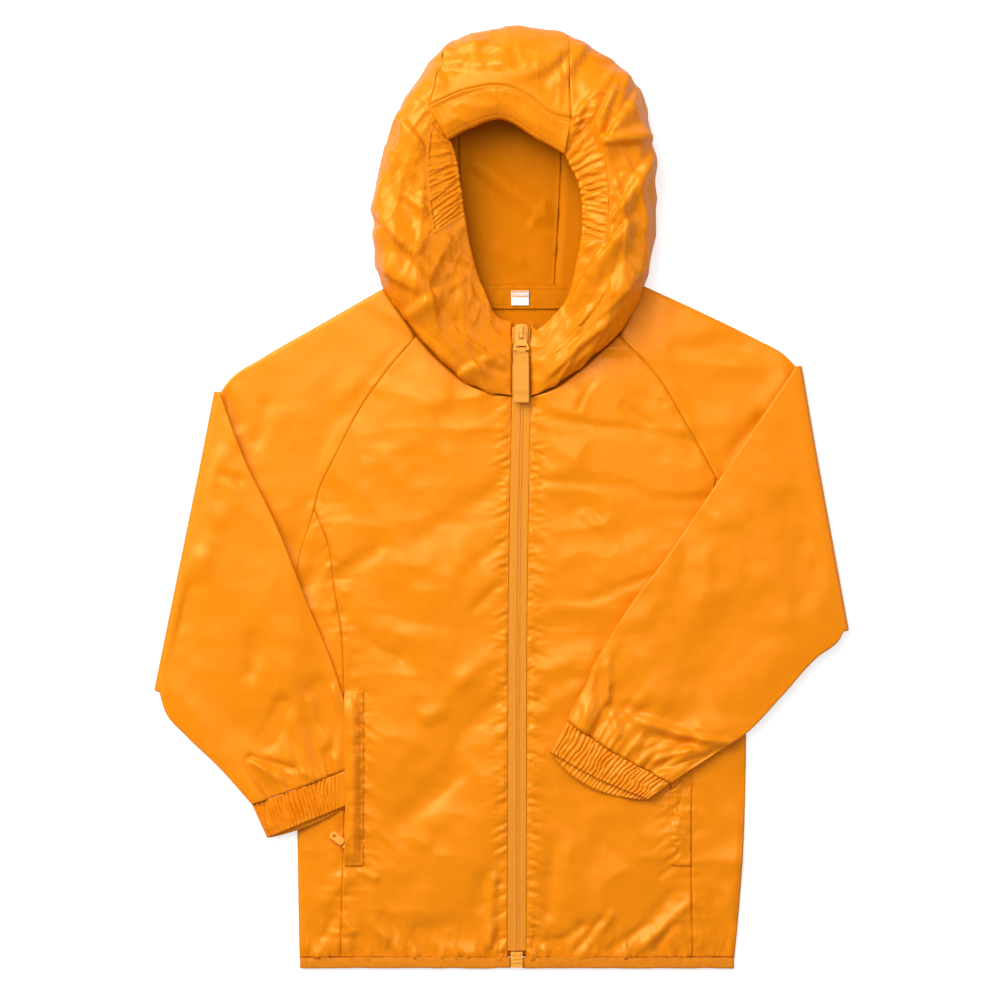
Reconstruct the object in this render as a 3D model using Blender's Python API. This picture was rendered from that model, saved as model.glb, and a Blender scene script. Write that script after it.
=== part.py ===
"""Child's hooded windbreaker, laid flat on its back with both sleeves folded over the front.

The tables are in millimetres: x across, y towards the hood, z up from the surface it lies on.
"Left" and "right" are the viewer's, looking down on the front.
"""

import math

import bmesh
import bpy
import numpy as np

MM = 0.001
WALL = 1.2  # thickness of a cloth wall
SEAM = 0.5  # distance kept between two walls at a seam
BACK_MID = WALL / 2  # middle of the layer that lies on the floor
FRONT_MID = 2.1  # middle of the front layer where it lies closest to the back
MOST_LOFT = 3.0  # most that the front stands off that height
NECK_Y = 147.2  # seam between the back and the hood

# Middle of the front zip, from the neck to the hem: x, y
ZIP_LINE = [(13.7, 130), (13.7, 69), (12.3, -1), (11.2, -85), (10.9, -200), (10.6, -330)]
ZIP_HALF = 6.3  # from the middle of the zip to the cloth's stitched edge
ZIP_X = 13.7  # its middle at the slider
ZIP_CHIN = 6.0  # its height between the two sides of the hood
TAPE_IN, TAPE_OUT, TAPE_WALL = 1.2, 5.9, 1.0
CHAIN_HALF, CHAIN_WALL = 0.9, 1.4
CHAIN_TOP, TAPE_TOP, ZIP_FOOT = 114.6, 125.5, -316.4
FOOT_BOX = (8.2, 11.0, 3.4)  # width, length and height

HEM_TOP, HEM_FOOT = -321.0, -328.3
HEM_WALL = 1.4
HEM_FRONT, HEM_BACK = 2.75, 0.7  # middle heights of the binding on the front and on the back

# Seams and edges of the body: x, y
RAGLAN_LEFT = [(-60, 113), (-78, 92), (-97.7, 64.8), (-114, 34), (-129.2, 0.4), (-130.8, -7.4)]
ARMHOLE_LEFT = [(-130.8, -7.4), (-142, -45), (-142.5, -85)]
PRINCESS_LEFT = [(-112.4, -320.5), (-110.3, -128), (-112.4, -89), (-116.6, -65), (-121, -33), (-130.8, -7.4)]
SIDE_LEFT = [(-141.3, -320.5), (-142.8, -235), (-142.5, -85)]
NECK_LEFT = [(-60, 113), (-43, 95.5), (-21, 78.5), (-4, 72.5), (7.4, 71)]
RAGLAN_BACK_LEFT = [(-70, NECK_Y), (-108, 44), (-135, -8), (-142.3, -50), (-142.5, -85)]

RAGLAN_RIGHT = [(82, 114), (108, 87), (130, 51), (142, 30), (150.5, 14)]
ARMHOLE_RIGHT = [(150.5, 14), (166, -20), (171, -66)]
PRINCESS_RIGHT = [(134, -320.5), (132, -205), (131, -128), (134, -60), (150.5, 14)]
SIDE_RIGHT = [(163, -320.5), (166, -288), (169, -247), (171.2, -166), (171, -66)]
NECK_RIGHT = [(20, 70.5), (35, 75.5), (62, 95.5), (82, 114)]
RAGLAN_BACK_RIGHT = [(88, NECK_Y), (128, 46), (159, -2), (169.5, -40), (171, -66)]

# Sleeves, upper part: shoulder edge, underarm edge and the line where the sleeve folds back: x, y
SHOULDER_LEFT = [(-82, NECK_Y), (-130, 121), (-172, 98), (-193, 85), (-201.3, 75)]
UNDERARM_LEFT = [(-142.5, -85), (-243.3, -134.1)]
FOLD_LEFT = [(-201.3, 75), (-208, 40), (-225, -44), (-238, -108), (-243.3, -134.1)]
SHOULDER_RIGHT = [(99, NECK_Y + 1.5), (140, 131), (181, 112), (202, 101), (210.4, 93)]
UNDERARM_RIGHT = [(171, -66), (243.3, -92)]
FOLD_RIGHT = [(210.4, 93), (219, 42), (232, -30), (243.3, -92)]
FOLD_CENTRE = 4.6  # height about which a sleeve folds back
FOLD_INSET = 4.6  # from the sleeve's outer line in to the middle of the fold
PLY = 0.95  # half the distance between the two plies of a flattened sleeve
SLEEVE_EDGE = 0.006  # share of the sleeve's width in which the two plies come together
# Sleeves, folded part: inner edge, outer lower edge, and the cuff's two ends: x, y
INNER_LEFT = [(-201.3, 75), (-184, 30.5), (-158.6, -21), (-138.3, -71), (-118, -119), (-109.5, -146), (-101, -187)]
LOWER_LEFT = [(-243.3, -134.1), (-238, -149), (-222, -166), (-200, -186), (-174, -213.5)]
CUFF_TOP_LEFT = [(-101, -187), (-137, -200.5), (-174, -213.5)]
CUFF_END_LEFT = [(-101.5, -211.5), (-133, -224.5), (-163.5, -236.8)]
INNER_RIGHT = [(210.4, 93), (162, 24), (115.2, -43), (90, -76), (74, -101), (60, -126), (45.9, -155.8)]
LOWER_RIGHT = [(243.3, -92), (240, -98), (224.4, -110), (198, -138), (172, -164), (150, -178), (118, -198.5)]
CUFF_TOP_RIGHT = [(45.9, -155.8), (80, -178), (118, -198.5)]
CUFF_END_RIGHT = [(34, -177), (66, -195), (102.6, -210)]
CUFF_RIBS = 12  # gathers on each side of a cuff
CUFF_RIB = 0.5  # their height

# Hood, from the zip round to the seam of its centre strip:
# edge of the face opening x, y, z; highest line x, y, z; outermost line x, y, z
HOOD_LEFT = [
    ((7.1, 124, 6), (7.1, 98, 6.6), (7.1, 71.6, 5.9)),
    ((-3, 127, 8), (-12, 104, 12), (-4, 73, 6.2)),
    ((-10, 140, 12), (-30, 118, 19), (-21, 79.5, 6.5)),
    ((-19, 165, 17), (-46, 140, 28), (-43, 97, 7)),
    ((-24, 187, 22), (-57, 165, 34), (-66, 125, 7)),
    ((-27, 208, 26), (-61, 185, 37), (-84.5, 149.5, 7)),
    ((-29, 222, 29), (-63, 207, 39), (-88.7, 188, 11)),
    ((-31, 235, 31), (-63, 230, 41), (-87.5, 214, 14)),
    ((-33, 241, 32), (-60, 252, 42), (-80.5, 245, 15)),
    ((-35, 245.5, 32.6), (-56, 264, 42), (-68, 279, 16)),
    ((-37, 248, 33), (-50.5, 271, 41.5), (-36, 318, 16)),
]
HOOD_MIDDLE = ((-3, 262, 31), (3, 284.5, 43.5), (8, 329, 16))
HOOD_RIGHT = [
    ((20.3, 124, 6), (20.3, 98, 6.6), (20.3, 71.6, 5.9)),
    ((25, 118, 8), (33, 101, 12), (28, 73.5, 6.2)),
    ((42.5, 134, 13), (54, 118, 19), (44, 83, 6.5)),
    ((49, 150, 18), (71, 140, 28), (62, 97, 7)),
    ((54, 170, 23), (80, 164, 34), (83.5, 118, 7)),
    ((56, 192, 26), (84, 186, 37), (101.5, 152, 7)),
    ((55.5, 206, 29), (85, 208, 39), (107.3, 190, 11)),
    ((53, 219, 31), (84, 231, 41), (107.3, 220, 14)),
    ((48, 229, 33), (79, 254, 42), (105, 250, 15)),
    ((45, 236, 34), (68, 271, 42), (91, 293, 16)),
    ((43.5, 238, 34), (48, 262, 41.5), (46, 323, 16)),
]
SHOULDER_ROW = 5  # the row of those tables where the hood leaves the shoulder
HOOD_TURN = 12.0  # how far in from the outermost line the hood meets the floor
HOOD_BACK_TOP = (5.0, 301.0)  # where the middle of the centre strip ends on the floor
# Seam of the centre strip down the inside back, from the neck to the top: x, y
STRIP_LEFT = [(-28, NECK_Y + 1.2), (-28, 220), (-31.5, 299)]
STRIP_RIGHT = [(36, NECK_Y + 1.2), (40, 220), (43, 304)]
# Brim band: its seam to the centre strip and its free edge: x, y, z
BRIM_SEAM = [(-50.5, 271, 41.5), (-24, 282, 43), (3, 284.5, 43.5), (20, 277, 43), (34, 266, 42), (48, 262, 41.5)]
BRIM_EDGE = [(-37, 248, 33), (-20, 256.5, 31.8), (-3.2, 262.2, 31), (26.6, 247.5, 32), (43.5, 238, 34)]
# Gathered casings at the temples: first and last row of the hood's tables, share of the way to the highest line
CASING_ROWS = (4.5, 9.0)
CASING_SHARE = 0.6
CASING_GATHERS = 12
GATHER = 0.42

# Pocket welts: x of the free edge and of the sewn edge, y of the top and of the foot
WELT_LEFT = (-109.6, -96.6, -134, -257)
WELT_RIGHT = (132.2, 118.5, -134, -257)
TUCK = 1.2
WELT_LIFT = 4.8  # how far the left welt stands up over the cuff that is tucked under it

# Broad folds: x, y of one end, x, y of the other, half width, height
BODY_FOLDS = [
    (-60, 60, 0, 30, 26, 1.2),
    (-100, -30, -10, -65, 20, 1.0),
    (-70, -235, -15, -150, 20, -1.1),
    (-90, -180, -60, -130, 18, 0.9),
    (-30, -280, 0, -200, 14, 0.9),
    (40, 60, 130, 20, 22, 1.0),
    (35, 10, 110, -10, 18, 0.9),
    (60, -70, 120, -40, 20, 1.0),
    (30, -250, 90, -300, 15, 0.9),
    (70, -305, 110, -280, 12, -0.8),
]
SLEEVE_FOLDS = [
    (-190, 70, -110, 60, 22, 0.9),
    (-200, 0, -140, -20, 20, 0.8),
    (120, 100, 200, 70, 22, 0.9),
    (160, 10, 215, 20, 20, 0.8),
]
FOREARM_FOLDS = [
    (-215, -30, -150, -90, 24, 1.1),
    (-225, -140, -170, -200, 14, 1.2),
    (-180, -160, -130, -170, 12, -1.2),
    (-150, -120, -130, -185, 12, 1.0),
    (190, 20, 140, -80, 26, 1.1),
    (90, -120, 150, -165, 13, 1.3),
    (80, -150, 160, -150, 10, -1.1),
    (200, -100, 130, -180, 14, 1.0),
]

# Slider and pull of the front zip, about its hinge
HINGE_Y, HINGE_Z = 116.8, 9.2
SLIDER_PLATE = (9.0, 13.5, 1.1)  # width, length and thickness of each plate
SLIDER_Y, SLIDER_CORNER, SLIDER_PLAY = 115.0, 2.5, 0.3
POST_HALF = 0.8
BRIDGE_HALF, BRIDGE_WALL, BRIDGE_RISE = 1.1, 1.2, 1.1
BRIDGE_FRONT, BRIDGE_REAR = HINGE_Y - 4.6, HINGE_Y + 4.0
JOIN = 0.5  # how far one part of the slider is sunk into the next
# Right half of the tab's outline, down from its rounded top: x, y from the hinge
TAB_OUTLINE = [(2.9, 0.6), (3.1, -3.0), (4.0, -8.0), (5.4, -11.5), (5.6, -12.5), (4.8, -13.3)]
TAB_WALL = 1.2
TAB_WINDOW = (1.6, -6.0, -0.6)  # half width, foot and top of the window that the slider's bridge goes through
TAB_SLOT = (3.7, -12.0, -10.2)  # the same of the slot that the ribbon goes through
TAB_BAR = (-13.6, -11.7)  # foot and top of the room for the bar below that slot
RIBBON_HALF, RIBBON_FOOT = 5.4, 66.8
LOOP_HALF, LOOP_WALL, LOOP_PLAY = 3.3, 1.1, 0.3

# Pocket pull: hinge, direction of the tab and its sizes
POCKET_HINGE = (-110.4, -240.7, 5.8)
POCKET_WAY = (-0.79, 0.61)
POCKET_TAB = (11.4, 5.6, 1.2)
POCKET_TAB_CORNER = 2.4
POCKET_EYE, EYE_INSET = 1.1, 3.2
POCKET_SLIDER = ((-2.6, -7.5, -1.6), (2.6, -0.75, 0.9))  # lowest and highest corner, from the hinge

# Inside the neck: x, y of two corners
NECK_BAND = ((-46, 133), (62, NECK_Y))
LABEL = ((6.7, 134.8), (19.3, 145.4))
TRIM_WALL, TRIM_GAP = 1.0, 0.3

ORANGE = (1.0, 0.30, 0.01)
ORANGE_TAPE = (0.92, 0.34, 0.05)
ORANGE_PULL = (1.0, 0.42, 0.10)
WHITE = (0.9, 0.9, 0.92)


# ---- curves and surfaces


def curve(rows):
    """A smooth curve through the rows, as a function of 0 to 1 along it."""
    points = np.array(rows, float)
    steps = np.linalg.norm(np.diff(points[:, :2], axis=0), axis=1)
    knots = np.concatenate([[0], np.cumsum(steps)]) / steps.sum()
    return spline(points, knots)


def spline(points, knots):
    slopes = np.gradient(points, knots, axis=0)

    def at(t):
        t = np.asarray(t, float)
        k = np.clip(np.searchsorted(knots, t, side="right") - 1, 0, len(knots) - 2)
        span = (knots[k + 1] - knots[k])[..., None]
        s = (t - knots[k])[..., None] / span
        return (
            (1 + 2 * s) * (1 - s) ** 2 * points[k]
            + s * (1 - s) ** 2 * span * slopes[k]
            + s**2 * (3 - 2 * s) * points[k + 1]
            - s**2 * (1 - s) * span * slopes[k + 1]
        )

    return at


def chain(*parts):
    """Paths end to end, each given with its share of the whole, as a function of 0 to 1."""
    total = sum(share for _, share in parts)

    def at(t):
        t = np.asarray(t, float) * total
        done = 0
        for path, share in parts:
            here = path(np.clip((t - done) / share, 0, 1))
            found = here if done == 0 else np.where((t > done)[..., None], here, found)
            done += share
        return found

    return at


def backwards(path):
    return lambda t: path(1 - np.asarray(t, float))


def shifted(path, dx, dy=0.0):
    return lambda t: path(t) + np.array([dx, dy])


def patch(bottom, top, left, right, u, v):
    """The surface between four edge curves: u runs from left to right and v from bottom to top."""
    u, v = np.broadcast_arrays(u, v)
    a, b = u[..., None], v[..., None]
    sides = (1 - a) * left(v) + a * right(v)
    ends = (1 - b) * bottom(u) + b * top(u)
    zero, one = np.zeros(()), np.ones(())
    low = (1 - a) * bottom(zero) + a * bottom(one)
    high = (1 - a) * top(zero) + a * top(one)
    return sides + ends - (1 - b) * low - b * high


def grid(columns, rows):
    return np.meshgrid(np.linspace(0, 1, columns), np.linspace(0, 1, rows))


def folds(x, y, rows):
    """Height of the soft folds at x, y."""
    height = np.zeros_like(x)
    for x0, y0, x1, y1, width, rise in rows:
        length = math.hypot(x1 - x0, y1 - y0)
        along = ((x - x0) * (x1 - x0) + (y - y0) * (y1 - y0)) / length
        off = ((x - x0) * (y1 - y0) - (y - y0) * (x1 - x0)) / length
        past = np.maximum(0, np.abs(along - length / 2) - length / 2)
        height += rise * np.exp(-((off / width) ** 2) - (past / width) ** 2)
    return height


def ramp(value, low, high):
    """0 below low and 1 above high, eased between them; high may be the lower one."""
    t = np.clip((value - low) / (high - low), 0, 1)
    return t * t * (3 - 2 * t)


def zip_x(y):
    table = np.array(ZIP_LINE[::-1], float)
    return np.interp(y, table[:, 1], table[:, 0])


def front_mid(x, y):
    """Middle height of the front layer: low at the sides, the hem and the zip, with its folds between."""
    to_side = np.minimum(x + 142, 170 - x)
    to_hem = y - HEM_FOOT
    swell = 1.5 * (1 - np.exp(-np.maximum(to_side, 0) / 25)) * (1 - np.exp(-np.maximum(to_hem, 0) / 20))
    to_zip = np.abs(x - zip_x(y))
    crease = folds(x, y, BODY_FOLDS) * (1 - np.exp(-((to_zip / 14) ** 2)))
    crease = crease * np.clip(to_side / 30, 0, 1) * np.clip(to_hem / 25, 0, 1)
    return FRONT_MID + np.clip(swell + crease, 0, MOST_LOFT)


def zip_mid(y):
    """Middle height of the zip: with the front, and higher between the two sides of the hood."""
    y = np.asarray(y, float)
    return front_mid(zip_x(y), y) * (1 - ramp(y, 66, 90)) + ZIP_CHIN * ramp(y, 66, 90)


def lifted(plan, height):
    return np.concatenate([plan[..., :2], height[..., None]], axis=-1)


# ---- solids


def material(name, colour, roughness):
    made = bpy.data.materials.new(name)
    made.use_nodes = True
    shader = made.node_tree.nodes["Principled BSDF"]
    shader.inputs["Base Color"].default_value = (*colour, 1)
    shader.inputs["Roughness"].default_value = roughness
    shader.inputs["Metallic"].default_value = 0
    return made


def placed(name, mesh, look, origin=(0, 0, 0)):
    piece = bpy.data.objects.new(name, mesh)
    piece.location = [value * MM for value in origin]
    bpy.context.collection.objects.link(piece)
    mesh.materials.append(look)
    return piece


def wall(name, points, look, closed=False, keep=None, thickness=WALL):
    """A cloth wall about a grid of points. closed joins the last column to the first, and keep picks cells."""
    rows, columns = points.shape[:2]
    cells = bmesh.new()
    corners = {}
    for j in range(rows - 1):
        for i in range(columns if closed else columns - 1):
            if keep is not None and not keep(j, i):
                continue
            square = [(j, i), (j, (i + 1) % columns), (j + 1, (i + 1) % columns), (j + 1, i)]
            for place in square:
                if place not in corners:
                    corners[place] = cells.verts.new(points[place] * MM)
            cells.faces.new([corners[place] for place in square])
    mesh = bpy.data.meshes.new(name)
    cells.to_mesh(mesh)
    cells.free()
    mesh.shade_smooth()
    piece = placed(name, mesh, look)
    solid = piece.modifiers.new("wall", "SOLIDIFY")
    solid.thickness = thickness * MM
    solid.offset = 0
    return piece


def prism(name, outline, low, high, look, axis="z", origin=(0, 0, 0)):
    """A piece cut to an outline and drawn out along x or z, between two positions."""
    shape = bmesh.new()
    spots = [(x, y, low) if axis == "z" else (low, x, y) for x, y in outline]
    face = shape.faces.new([shape.verts.new([value * MM for value in spot]) for spot in spots])
    raised = bmesh.ops.extrude_face_region(shape, geom=[face])
    moved = [item for item in raised["geom"] if isinstance(item, bmesh.types.BMVert)]
    way = (0, 0, (high - low) * MM) if axis == "z" else ((high - low) * MM, 0, 0)
    bmesh.ops.translate(shape, vec=way, verts=moved)
    bmesh.ops.recalc_face_normals(shape, faces=shape.faces)
    mesh = bpy.data.meshes.new(name)
    shape.to_mesh(mesh)
    shape.free()
    return placed(name, mesh, look, origin)


def block(name, low, high, look, origin=(0, 0, 0)):
    outline = [(low[0], low[1]), (high[0], low[1]), (high[0], high[1]), (low[0], high[1])]
    return prism(name, outline, low[2], high[2], look, origin=origin)


def combine(piece, other, operation):
    """Joins a hidden helper to a piece, or cuts it away."""
    other.hide_render = True
    other.display_type = "WIRE"
    step = piece.modifiers.new(operation.lower(), "BOOLEAN")
    step.operation = operation
    step.solver = "EXACT"
    step.object = other


def rounded(width, length, corner, steps=4):
    """Outline of a rounded rectangle from its foot at 0, 0 up its middle."""
    outline = []
    for x, y, start in (
        (width / 2 - corner, corner, -90),
        (width / 2 - corner, length - corner, 0),
        (corner - width / 2, length - corner, 90),
        (corner - width / 2, corner, 180),
    ):
        for step in range(steps + 1):
            angle = math.radians(start + 90 * step / steps)
            outline.append((x + corner * math.cos(angle), y + corner * math.sin(angle)))
    return outline


# ---- body


def body_piece(name, hem, top, left, right, columns, rows, look):
    u, v = grid(columns, rows)
    plan = patch(hem, top, left, right, u, v)
    wall(name, lifted(plan, front_mid(plan[..., 0], plan[..., 1])), look)


def straight(start, end):
    start, end = np.array(start, float), np.array(end, float)
    return lambda t: start + np.asarray(t, float)[..., None] * (end - start)


PRINCESS_STEPS, RAGLAN_STEPS, ARMHOLE_STEPS = 14, 6, 3  # a seam's two sides are cut at the same points


def zip_edge(offset, foot, head):
    """The cloth's edge beside the zip, from the hem to the neck."""

    def at(v):
        y = foot + np.asarray(v, float) * (head - foot)
        return np.stack([zip_x(y) + offset, y], -1)

    return at


def make_back(look):
    """The back panel lies on the floor, between the two back raglan seams."""
    steps = np.linspace(0, 1, RAGLAN_STEPS + ARMHOLE_STEPS + 1)
    left = shifted(curve(RAGLAN_BACK_LEFT), SEAM)(steps)
    right = shifted(curve(RAGLAN_BACK_RIGHT), -SEAM)(steps)
    sides = np.linspace(0, 1, 6)
    left_side = curve(SIDE_LEFT)(sides)
    right_side = curve(SIDE_RIGHT)(sides)
    outline = [*left_side[:-1], *left[::-1], *right, *right_side[:-1][::-1]]
    prism("back_panel", outline, 0, WALL, look)


def make_fronts(look):
    foot = HEM_TOP + SEAM
    left_zip = zip_edge(-ZIP_HALF, foot, NECK_LEFT[-1][1])
    right_zip = zip_edge(ZIP_HALF, foot, NECK_RIGHT[0][1])
    left_edge = shifted(
        chain((curve(PRINCESS_LEFT), PRINCESS_STEPS), (backwards(curve(RAGLAN_LEFT)), RAGLAN_STEPS)), SEAM
    )
    right_edge = shifted(
        chain((curve(PRINCESS_RIGHT), PRINCESS_STEPS), (backwards(curve(RAGLAN_RIGHT)), RAGLAN_STEPS)), -SEAM
    )
    rows = PRINCESS_STEPS + RAGLAN_STEPS + 1
    left_hem = straight((PRINCESS_LEFT[0][0] + SEAM, foot), left_zip(0.0))
    right_hem = straight(right_zip(0.0), (PRINCESS_RIGHT[0][0] - SEAM, foot))
    body_piece("front_left", left_hem, curve(NECK_LEFT), left_edge, left_zip, 10, rows, look)
    body_piece("front_right", right_hem, curve(NECK_RIGHT), right_zip, right_edge, 10, rows, look)


def make_side_panels(look):
    foot = HEM_TOP + SEAM
    for side, princess, edge, armhole in (
        ("left", PRINCESS_LEFT, SIDE_LEFT, ARMHOLE_LEFT),
        ("right", PRINCESS_RIGHT, SIDE_RIGHT, ARMHOLE_RIGHT),
    ):
        hem = straight((princess[0][0], foot), (edge[0][0], foot))
        columns, rows = ARMHOLE_STEPS + 1, PRINCESS_STEPS + 1
        name = "side_panel_" + side
        body_piece(name, hem, curve(armhole), curve(princess), curve(edge), columns, rows, look)


def make_hem(look):
    """The elastic binding: one strip from the zip round the back and on to the zip again."""
    middle = zip_x(HEM_TOP)
    gap = ZIP_HALF - 1.7
    turn = (HEM_FRONT - HEM_BACK) / 2
    left = SIDE_LEFT[0][0] + turn + HEM_WALL / 2
    right = SIDE_RIGHT[0][0] - turn - HEM_WALL / 2
    centre = (HEM_FRONT + HEM_BACK) / 2
    path = [(x, HEM_FRONT) for x in np.linspace(middle - gap, left, 13)[:-1]]
    path += [(left - turn * math.sin(a), centre + turn * math.cos(a)) for a in np.linspace(0, math.pi, 5)]
    path += [(x, HEM_BACK) for x in np.linspace(left, right, 11)[1:-1]]
    path += [(right + turn * math.sin(a), centre - turn * math.cos(a)) for a in np.linspace(0, math.pi, 5)]
    path += [(x, HEM_FRONT) for x in np.linspace(right, middle + gap, 13)[1:]]
    rows = [[(x, y, z) for x, z in path] for y in np.linspace(HEM_FOOT, HEM_TOP, 3)]
    wall("hem_binding", np.array(rows), look, thickness=HEM_WALL)


def welt_mid(x, y, welt, lift):
    """Middle height of a welt: sewn down at one long edge and both ends, free at the other edge."""
    free, sewn, top, foot = welt
    away = ramp(x, sewn, sewn + 0.5 * (free - sewn))
    between = ramp(y, foot, foot + 12) * ramp(y, top, top - 8)
    return front_mid(x, y) + WALL + 0.45 + lift * away * between


def make_welts(look):
    for name, welt, lift in (("pocket_welt_left", WELT_LEFT, WELT_LIFT), ("pocket_welt_right", WELT_RIGHT, 0.0)):
        free, sewn, top, foot = welt
        u, v = grid(6, 22)
        x = min(free, sewn) + u * abs(free - sewn)
        y = foot + v * (top - foot)
        wall(name, np.stack([x, y, welt_mid(x, y, welt, lift)], -1), look)


# ---- sleeves


def sleeve_ring(across):
    """The columns round a flattened tube: where each lies from edge to edge, and on which ply."""
    columns = len(across)
    place = np.concatenate([across, across[-2:0:-1]])
    ply = np.concatenate([np.ones(columns), -np.ones(columns - 2)])
    ply[[0, columns - 1]] = 0
    return place, ply


def tucked(x):
    """How far the folded sleeve lies lower where its cuff is tucked under the left pocket's welt."""
    return TUCK * ramp(x, -150, -120) * (x < 0)


def outward(fold, start):
    """Unit direction in plan from the sleeve to beyond its fold line."""
    ends = fold(np.array([0.0, 1.0]))
    along = (ends[1] - ends[0]) / np.linalg.norm(ends[1] - ends[0])
    way = np.array([-along[1], along[0]])
    return way if way @ (ends[0] - start) > 0 else -way


def sleeve_points(front, back, shoulder, underarm, fold, inner, lower, cuff, away):
    """Rings of a flattened sleeve: out from its seam, round the fold and back to the cuff."""
    across = np.linspace(0, 1, RAGLAN_STEPS + ARMHOLE_STEPS + 2)
    across = np.concatenate([[0, SLEEVE_EDGE], across[1:-1], [1 - SLEEVE_EDGE, 1]])
    place, ply = sleeve_ring(across)
    out = outward(fold, front(0.5))
    upper = ply[:, None] >= 0
    rings = []
    for v in np.linspace(0, 1, 7)[:-1]:
        level = np.full_like(place, v)
        on_front = patch(front, fold, shoulder, underarm, place, level)
        on_back = patch(back, fold, shoulder, underarm, place, level)
        plan = np.where(upper, on_front, on_back) - out * FOLD_INSET * v + (1 - v) * np.array([away, -SEAM])
        loft = np.clip(0.5 + folds(plan[:, 0], plan[:, 1], SLEEVE_FOLDS), 0, 1.8) * math.sin(math.pi * v) ** 0.5
        rings.append(lifted(plan, BACK_MID + PLY + ply * PLY + np.where(ply > 0, loft, 0)))
    base = fold(place) - out * FOLD_INSET
    radius = FOLD_CENTRE - BACK_MID - PLY - ply * PLY
    for angle in np.radians(np.linspace(-90, 90, 5)):
        plan = base + out * (radius * math.cos(angle))[:, None]
        rings.append(lifted(plan, FOLD_CENTRE + radius * math.sin(angle)))
    for v in np.linspace(0, 1, 9)[1:]:
        level = np.full_like(place, v)
        plan = patch(fold, cuff, inner, lower, place, level) - out * FOLD_INSET * (1 - v)
        loft = np.clip(0.9 + folds(plan[:, 0], plan[:, 1], FOREARM_FOLDS), 0, 2.2)
        loft = loft * math.sin(math.pi * min(v, 0.9)) ** 0.5 * (1 - tucked(plan[:, 0]) / TUCK)
        height = 2 * FOLD_CENTRE - BACK_MID - PLY - ply * PLY - tucked(plan[:, 0])
        rings.append(lifted(plan, height + np.where(ply < 0, loft, 0)))
    return np.array(rings)


def make_sleeves(look):
    neck_left = straight(SHOULDER_LEFT[0], RAGLAN_LEFT[0])
    neck_right = straight(SHOULDER_RIGHT[0], RAGLAN_RIGHT[0])
    back_left = straight(SHOULDER_LEFT[0], RAGLAN_BACK_LEFT[0])
    back_right = straight(SHOULDER_RIGHT[0], RAGLAN_BACK_RIGHT[0])
    for side, away, neck, back_neck, seams, edges in (
        (
            "left", -2 * SEAM, neck_left, back_left, (RAGLAN_LEFT, ARMHOLE_LEFT, RAGLAN_BACK_LEFT),
            (SHOULDER_LEFT, UNDERARM_LEFT, FOLD_LEFT, INNER_LEFT, LOWER_LEFT, CUFF_TOP_LEFT),
        ),
        (
            "right", 2 * SEAM, neck_right, back_right, (RAGLAN_RIGHT, ARMHOLE_RIGHT, RAGLAN_BACK_RIGHT),
            (SHOULDER_RIGHT, UNDERARM_RIGHT, FOLD_RIGHT, INNER_RIGHT, LOWER_RIGHT, CUFF_TOP_RIGHT),
        ),
    ):
        raglan, armhole, raglan_back = map(curve, seams)
        front = chain((neck, 1), (raglan, RAGLAN_STEPS), (armhole, ARMHOLE_STEPS))
        back = chain((back_neck, 1), (raglan_back, RAGLAN_STEPS + ARMHOLE_STEPS))
        shoulder, underarm, fold, inner, lower, cuff = map(curve, edges)
        points = sleeve_points(front, back, shoulder, underarm, fold, inner, lower, cuff, away)
        wall("sleeve_" + side, points, look, closed=True)


def cuff_points(top, end, sag):
    """Rings of a gathered cuff. sag is how far the under ply hangs out past the upper one."""
    place, ply = sleeve_ring(np.linspace(0, 1, 4 * CUFF_RIBS + 1))
    way = end(0.5) - top(0.5)
    way = way / np.linalg.norm(way)
    rings = []
    for v in np.linspace(0, 1, 4):
        plan = (1 - v) * top(place) + v * end(place) + way * SEAM * 1.4 * (1 - v)
        hang = np.where(ply < 0, 0.0, sag) * np.sin(math.pi * place) ** 0.7 * v**2
        plan = plan + way * hang[:, None]
        rib = CUFF_RIB * np.cos(2 * math.pi * CUFF_RIBS * place)
        swell = (0.5 * math.sin(math.pi * v) + rib) * (1 - 0.7 * tucked(plan[:, 0]) / TUCK)
        height = 2 * FOLD_CENTRE - BACK_MID - PLY - ply * (PLY + 0.2) - tucked(plan[:, 0])
        rings.append(lifted(plan, height + np.where(ply < 0, swell + 0.3, 0.3 * rib * np.abs(ply))))
    return np.array(rings)


def make_cuffs(look):
    for name, top, end, sag in (
        ("cuff_left", CUFF_TOP_LEFT, CUFF_END_LEFT, 3.5),
        ("cuff_right", CUFF_TOP_RIGHT, CUFF_END_RIGHT, 8.0),
    ):
        wall(name, cuff_points(curve(top), curve(end), sag), look, closed=True)


# ---- hood

MOUTH_STEPS, CREST_STEPS, TURN_STEPS, FLOOR_STEPS = 5, 5, 3, 2


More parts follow.
